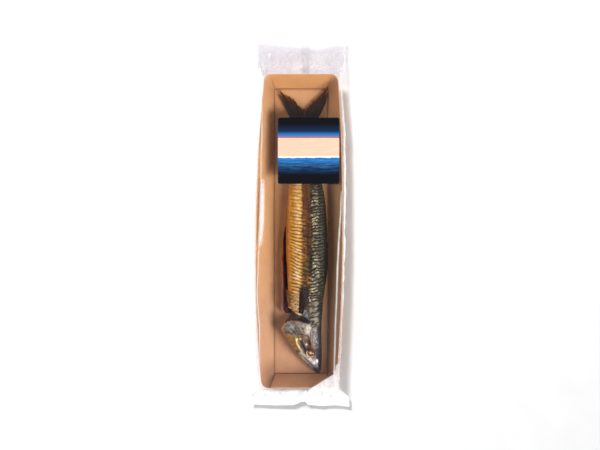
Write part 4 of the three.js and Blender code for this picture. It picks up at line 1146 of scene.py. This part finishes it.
def film():
    """The sleeve as one sheet: it starts and ends at the lapped seam under the tray."""
    y = np.concatenate([
        np.linspace(-198.4, -166, 130), np.linspace(-166, 166, 520)[1:-1], np.linspace(166, 212.6, 180),
    ])
    rows = SLEEVE(y)
    base_l, side_l, rim_l, rim_r, side_r, base_r, z_low, z_side, z_rim, z_crown = rows.T

    def arc(corner, before, after, reach_before, reach_after, steps):
        """Rounds a corner between two neighbours, as points from the one side to the other."""
        va, vb = before - corner, after - corner
        va /= np.maximum(np.linalg.norm(va, axis=1, keepdims=True), 1e-6)
        vb /= np.maximum(np.linalg.norm(vb, axis=1, keepdims=True), 1e-6)
        start, end = corner + va * reach_before[:, None], corner + vb * reach_after[:, None]
        k = np.linspace(0, 1, steps)[None, :, None]
        return (1 - k) ** 2 * start[:, None] + 2 * k * (1 - k) * corner[:, None] + k**2 * end[:, None]

    def line(a, b, steps):
        k = np.linspace(0, 1, steps)[None, 1:-1, None]
        return a[:, None] * (1 - k) + b[:, None] * k

    seam = np.stack([np.full_like(y, SEAM[0]), z_low], 1)
    seam_end = np.stack([np.full_like(y, SEAM[1]), z_low + LAP_GAP], 1)
    corners = {
        "br": (base_r, z_low), "sr": (side_r, z_side), "rr": (rim_r, z_rim),
        "rl": (rim_l, z_rim), "sl": (side_l, z_side), "bl": (base_l, z_low),
    }
    corners = {key: np.stack(value, 1) for key, value in corners.items()}
    corners["seam"] = seam
    corners["top_l"] = np.stack([rim_l * 0.86 + rim_r * 0.14, z_rim * 0.86 + z_crown * 0.14], 1)
    corners["top_r"] = np.stack([rim_l * 0.14 + rim_r * 0.86, z_rim * 0.86 + z_crown * 0.14], 1)

    def bend(at, before, after, first, second, steps):
        """A rounded corner; first and second are (the side it is on, its most mm, its most share)."""
        reaches = []
        for (a, b), most, part in (first, second):
            reaches.append(np.minimum(most, np.linalg.norm(corners[a] - corners[b], axis=1) * part))
        return arc(corners[at], corners[before], corners[after], *reaches, steps)

    base_right, rise_right = ("br", "sr"), ("sr", "rr")
    base_left, rise_left = ("bl", "sl"), ("sl", "rl")
    arc_br = bend("br", "seam", "sr", (base_right, 3, 0.3), (base_right, 3, 0.3), 7)
    arc_sr = bend("sr", "br", "rr", (base_right, 9, 0.4), (rise_right, 6, 0.42), 11)
    arc_rr = bend("rr", "sr", "top_r", (rise_right, 2.6, 0.25), (rise_right, 3.0, 0.6), 15)
    arc_rl = bend("rl", "top_l", "sl", (rise_left, 4.6, 0.6), (rise_left, 2.6, 0.25), 19)
    arc_sl = bend("sl", "rl", "bl", (rise_left, 5, 0.4), (base_left, 9, 0.4), 11)
    arc_bl = bend("bl", "sl", "seam", (base_left, 3, 0.3), (base_left, 3, 0.3), 7)
    chain = [
        seam[:, None], line(seam, arc_br[:, 0], 12), arc_br,
        line(arc_br[:, -1], arc_sr[:, 0], 10), arc_sr,
        line(arc_sr[:, -1], arc_rr[:, 0], 8), arc_rr,
    ]
    before_top = sum(c.shape[1] for c in chain)
    top = line(arc_rr[:, -1], arc_rl[:, 0], 112)
    chain.append(top)
    after_top = before_top + top.shape[1]
    chain += [
        arc_rl, line(arc_rl[:, -1], arc_sl[:, 0], 8), arc_sl,
        line(arc_sl[:, -1], arc_bl[:, 0], 10), arc_bl,
        line(arc_bl[:, -1], seam_end, 16), seam_end[:, None],
    ]
    xz = np.concatenate(chain, axis=1)
    count = xz.shape[1]
    points = np.stack([xz[..., 0], np.broadcast_to(y[:, None], xz.shape[:2]), xz[..., 1]], -1)

    # Over the tray the top is pulled tight over rims and fish.
    grid_x = np.linspace(-50, 48, 197)
    tight = crown_over_fish(y, grid_x)
    top_cols = slice(before_top, after_top)
    tx = points[:, top_cols, 0]
    fitted = np.stack([np.interp(tx[i], grid_x, tight[i]) for i in range(len(y))])
    over_tray = (ramp(y, -179, -172) * ramp(y, 179, 172))[:, None]
    slack = points[:, top_cols, 2]
    points[:, top_cols, 2] = slack * (1 - over_tray) + np.maximum(fitted, slack - 0.3) * over_tray

    # Where the seal's free edges stand along the tube's two ends.
    share = (points[..., 0] - side_l[:, None]) / (side_r - side_l)[:, None]
    tail_edge = np.interp(share, [0, 0.2, 0.42, 0.57, 0.62, 0.71, 0.86, 1],
                          [4.4, 2.2, 0.2, -1.2, -1.8, 0.4, 1.8, 2.6])
    head_edge = np.interp(share, [0, 0.24, 0.43, 0.54, 0.58, 0.72, 0.86, 1],
                          [1.8, 0.4, 0.8, 5.8, 1.0, -0.2, 0.6, -1.2])
    points[..., 1] += tail_edge * ramp(points[..., 1], 198, 212.6) ** 1.5
    points[..., 1] += head_edge * ramp(points[..., 1], -186, -198.4) ** 1.5

    px, py, pz = points[..., 0].copy(), points[..., 1].copy(), points[..., 2].copy()
    column = np.arange(count)[None, :]
    is_top = smooth((column - before_top + 12) / 14) * smooth((after_top + 14 - column) / 14)
    ends = np.maximum(ramp(py, 166, 186), ramp(py, -166, -180))
    seal = np.maximum(ramp(py, 201, 203), ramp(py, -186.5, -188.5))

    # Wrinkles: long ones that run from the ends' gathers, small ones along the sides, and crimps.
    gather = fbm(px * 0.11 + 0.04 * py, py * 0.03, 131) + 0.6 * fbm(px * 0.24 - 0.1 * py, py * 0.07, 134)
    folds = 1 - np.abs(noise(px * 0.10 + 0.6 * noise(py * 0.05, px * 0.03, 137), py * 0.035, 138)) * 2
    rise = ends * (1 - seal) * (1.7 * gather + 1.3 * np.clip(folds, -0.2, 1))
    side_waves = fbm(py * 0.075, pz * 0.06 + px * 0.02, 141) * 1.1 + 0.5 * noise(py * 0.22, pz * 0.10, 144)
    lower_sides = smooth((36 - pz) / 10) * smooth((pz - 1.0) / 6)
    rise = rise + lower_sides * (1 - ends) * side_waves * 0.8
    taut = fbm(px * 0.05 + 0.02 * py, py * 0.018, 147) * 0.28 + 0.10 * fbm(px * 0.16, py * 0.05, 149)
    rise = rise + is_top * (1 - ends) * (taut + 0.30)
    fold = inside(px, py, HEAD_FOLD, 1.0) * is_top
    fold_edge = along_line(px, py, HEAD_FOLD[:5])[0]
    rise = rise - 0.9 * bell(fold_edge / 1.6) * is_top
    crimp = 0.1 * np.sin(2 * np.pi * py / 2.1) * seal
    normal = np.cross(np.gradient(points, axis=1), np.gradient(points, axis=0))
    normal /= np.maximum(np.linalg.norm(normal, axis=-1, keepdims=True), 1e-9)
    flow = ramp(column / count, 0.03, 0.08) * ramp(column / count, 0.97, 0.92)
    points = points + normal * (-rise * flow)[..., None]
    sway = 0.9 * noise(px * 0.05, py * 0.05, 151) + 0.5 * noise(px * 0.13, py * 0.02, 153)
    points[..., 2] += crimp + seal * sway
    points[..., 2] = np.maximum(points[..., 2], FILM_CLEARANCE)
    # It clears the pectoral fin and the nape, and bends down only outside the tray's end rims.
    points[..., 2] += is_top * 2.6 * np.exp(-(((px - 1.5) / 10) ** 2) - ((py + 77) / 21) ** 2)
    points[..., 2] += is_top * 1.0 * np.exp(-(((px - 10) / 18) ** 2) - ((py + 107) / 11) ** 2)
    over_rim = RIM_CLEARANCE - 2.2 * np.clip(np.abs(points[..., 1]) - RIM_END, 0, None)
    points[..., 2] = np.where(is_top > 0.3, np.maximum(points[..., 2], over_rim), points[..., 2])

    # Milky where it is doubled, creased or steep, and in strips of painted glare along the rims and the
    # right side.
    crease = np.clip(np.abs(rise) / 2.0, 0, 1)
    head_end = ramp(py, -176.8, -181)
    haze_and_glare = 0.002 + 0.12 * ends * is_top * ramp(np.abs(py), 174, 179)
    haze_and_glare = haze_and_glare + seal * np.where(py > 0, 0.07, 0.4) + 0.2 * crease * ends
    haze_and_glare = haze_and_glare + 0.85 * head_end * is_top
    haze_and_glare = haze_and_glare + 0.05 * lower_sides * (1 - ends)
    upper = np.maximum(is_top, smooth((pz - 10) / 8))
    streaks = ramp(noise(pz * 0.42 + 0.3 * side_waves, py * 0.011, 161), -0.3, 0.5)
    for course, width, most in PAINTED_GLARE_STRIPS:
        away, share = along_line(px, py, course)
        fade = np.sin(np.pi * np.clip(share, 0.02, 0.98)) ** 0.3
        fade = fade * (1 - lower_sides * (1 - streaks) * 0.7)
        haze_and_glare = haze_and_glare + most * np.exp(-((away / width) ** 4)) * fade * upper
    haze_and_glare = haze_and_glare + 0.8 * fold
    # Painted glare along the film's right side.
    painted_right_glare = smooth(1 - np.abs(px - 49.5) / 3.0) * lower_sides
    haze_and_glare = haze_and_glare + 0.35 * painted_right_glare * smooth((pz - 6) / 6)
    tint = ramp(py, 168, 182) * (0.7 + 0.4 * noise(px * 0.05, py * 0.06, 157) + 0.5 * seal)
    tint = tint + 0.5 * crease * ends
    faces = grid_faces(len(y), count)
    piece = new_mesh("film_sleeve_web", points.reshape(-1, 3), faces, film_material(), None,
                     {"haze_and_glare": np.clip(haze_and_glare, 0, 1), "tint": np.clip(tint, 0, 1)})
    return piece, points, before_top, after_top


# ---------------------------------------------------------------- label


def label(film_points, before_top, after_top):
    """A rounded sheet of paper that follows the film under it."""
    x0, y0, width, length, corner = 8.4, 90.0, 68.6, 74.0, 2.6
    hx, hy = width / 2, length / 2

    def steps(half, inner):
        bend = np.linspace(half - corner, half, 9)
        return np.concatenate([-bend[::-1], np.linspace(-half + corner, half - corner, inner)[1:-1], bend])

    dx, dy = np.meshgrid(steps(hx, 70), steps(hy, 76))
    rows, columns = dx.shape
    # The square corners of the grid are pulled in onto quarter circles.
    ox, oy = np.abs(dx) - (hx - corner), np.abs(dy) - (hy - corner)
    turned = (ox > 0) & (oy > 0)
    pull = np.where(turned, np.maximum(ox, oy) / np.maximum(np.hypot(ox, oy), 1e-9), 1.0)
    dx = np.where(turned, np.sign(dx) * (hx - corner + ox * pull), dx)
    dy = np.where(turned, np.sign(dy) * (hy - corner + oy * pull), dy)
    x, y = x0 + dx, y0 + dy
    top = film_points[:, before_top:after_top]
    ys = film_points[:, before_top + 5, 1]
    row = np.clip(np.searchsorted(ys, y), 0, len(ys) - 1)
    z = np.empty((rows, columns))
    for i, j in np.ndindex(rows, columns):
        across = top[row[i, j], ::-1]
        z[i, j] = np.interp(x[i, j], across[:, 0], across[:, 2])
    kernel = np.hanning(9)
    kernel /= kernel.sum()
    for axis in (0, 1):
        z = np.apply_along_axis(lambda c: np.convolve(np.pad(c, 4, mode="edge"), kernel, "valid"), axis, z)
    z = z + 0.45
    values = {"v": np.tile((dy / length + 0.5).ravel(), 2)}
    points, faces = two_sided(np.stack([x, y, z + 0.16], -1), np.stack([x, y, z], -1))
    return new_mesh("label_sheet", points, faces, label_material(), None, values)


# ---------------------------------------------------------------- the pack

FIN_MATERIAL = fin_material()

body = mackerel_body()
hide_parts("mackerel")
mackerel_eye()
tail_fin()
small_fins()
side_fins()
belly_flap()
board = tray()
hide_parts("tray")
end_flap(1)
end_flap(-1)
sleeve, sleeve_points, top_from, top_to = film()
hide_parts("film_sleeve")
sticker = label(sleeve_points, top_from, top_to)
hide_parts("label")

# ---------------------------------------------------------------- floor, light and camera


def stage_floor():
    """A plain pale sheet, 6 m wide, that the pack lies on."""
    mesh = bpy.data.meshes.new("floor")
    size = 3.0
    corners = [(-size, -size, 0), (size, -size, 0), (size, size, 0), (-size, size, 0)]
    mesh.from_pydata(corners, [], [(0, 1, 2, 3)])
    mesh.materials.append(floor_material())
    floor = bpy.data.objects.new("floor", mesh)
    bpy.context.scene.collection.objects.link(floor)
    floor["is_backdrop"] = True
    return floor


def area_light(name, where, size, power, colour, receivers, glossy=True):
    """A lamp aimed at the middle of the pack that lights only its receivers; size is (x, y)."""
    data = bpy.data.lights.new(name, "AREA")
    data.shape = "RECTANGLE"
    data.size, data.size_y = size
    data.energy = power
    data.color = colour
    lamp = bpy.data.objects.new(name, data)
    bpy.context.scene.collection.objects.link(lamp)
    lamp.location = where
    lamp.rotation_euler = Vector(where).to_track_quat("Z", "Y").to_euler()
    lamp.visible_glossy = glossy
    lamp.visible_camera = False
    group = bpy.data.collections.new(name + "_receivers")
    for piece in receivers:
        group.objects.link(piece)
    lamp.light_linking.receiver_collection = group


floor = stage_floor()
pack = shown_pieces()
WARM, WHITE = (1.0, 0.99, 0.97), (1, 1, 1)
area_light("key", (0.86, -0.5, 1.28), (0.4, 1.0), 28, WARM, pack, False)
area_light("sheen", (1.2, -0.5, 1.02), (0.35, 1.1), 12, WARM, pack)
area_light("fill", (-1.1, 0.1, 1.12), (0.2, 1.2), 7, WARM, pack)
area_light("ground", (-0.5, 0.8, 1.4), (0.3, 0.3), 24, WHITE, [floor])
area_light("ground_wide", (0, 0, 3.2), (7.0, 7.0), 80, WHITE, [floor])


def studio_world():
    """White walls all round, darker overhead, so that up-facing gloss stays deep."""
    world = bpy.data.worlds.new("studio")
    world.use_nodes = True
    tree = world.node_tree
    up = tree.nodes.new("ShaderNodeSeparateXYZ")
    walls = tree.nodes.new("ShaderNodeValToRGB")
    tree.links.new(tree.nodes.new("ShaderNodeTexCoord").outputs["Generated"], up.inputs[0])
    tree.links.new(up.outputs["Z"], walls.inputs["Fac"])
    first, last = walls.color_ramp.elements
    first.position, first.color = 0.1, (0.75, 0.75, 0.76, 1)
    last.position, last.color = 0.75, (0.16, 0.16, 0.165, 1)
    tree.links.new(walls.outputs["Color"], tree.nodes["Background"].inputs["Color"])
    return world


bpy.context.scene.world = studio_world()
bpy.context.scene.view_settings.view_transform = "Standard"

FOCAL_LENGTH, SENSOR_WIDTH = 78.75, 36  # mm
CAMERA_OFFSET = (-1.1, 7.0)  # mm from the pack's middle, along X and Y
CAMERA_HEIGHT = 1.5  # metres over the floor

lens = bpy.data.cameras.new("camera")
lens.lens, lens.sensor_width = FOCAL_LENGTH, SENSOR_WIDTH
lens.clip_end = 20
camera = bpy.data.objects.new("camera", lens)
aim_x, aim_y = ((CENTRE[axis] + CAMERA_OFFSET[axis]) / 1000 for axis in (0, 1))
camera.location = (aim_x, aim_y, CAMERA_HEIGHT)
bpy.context.scene.collection.objects.link(camera)
bpy.context.scene.camera = camera
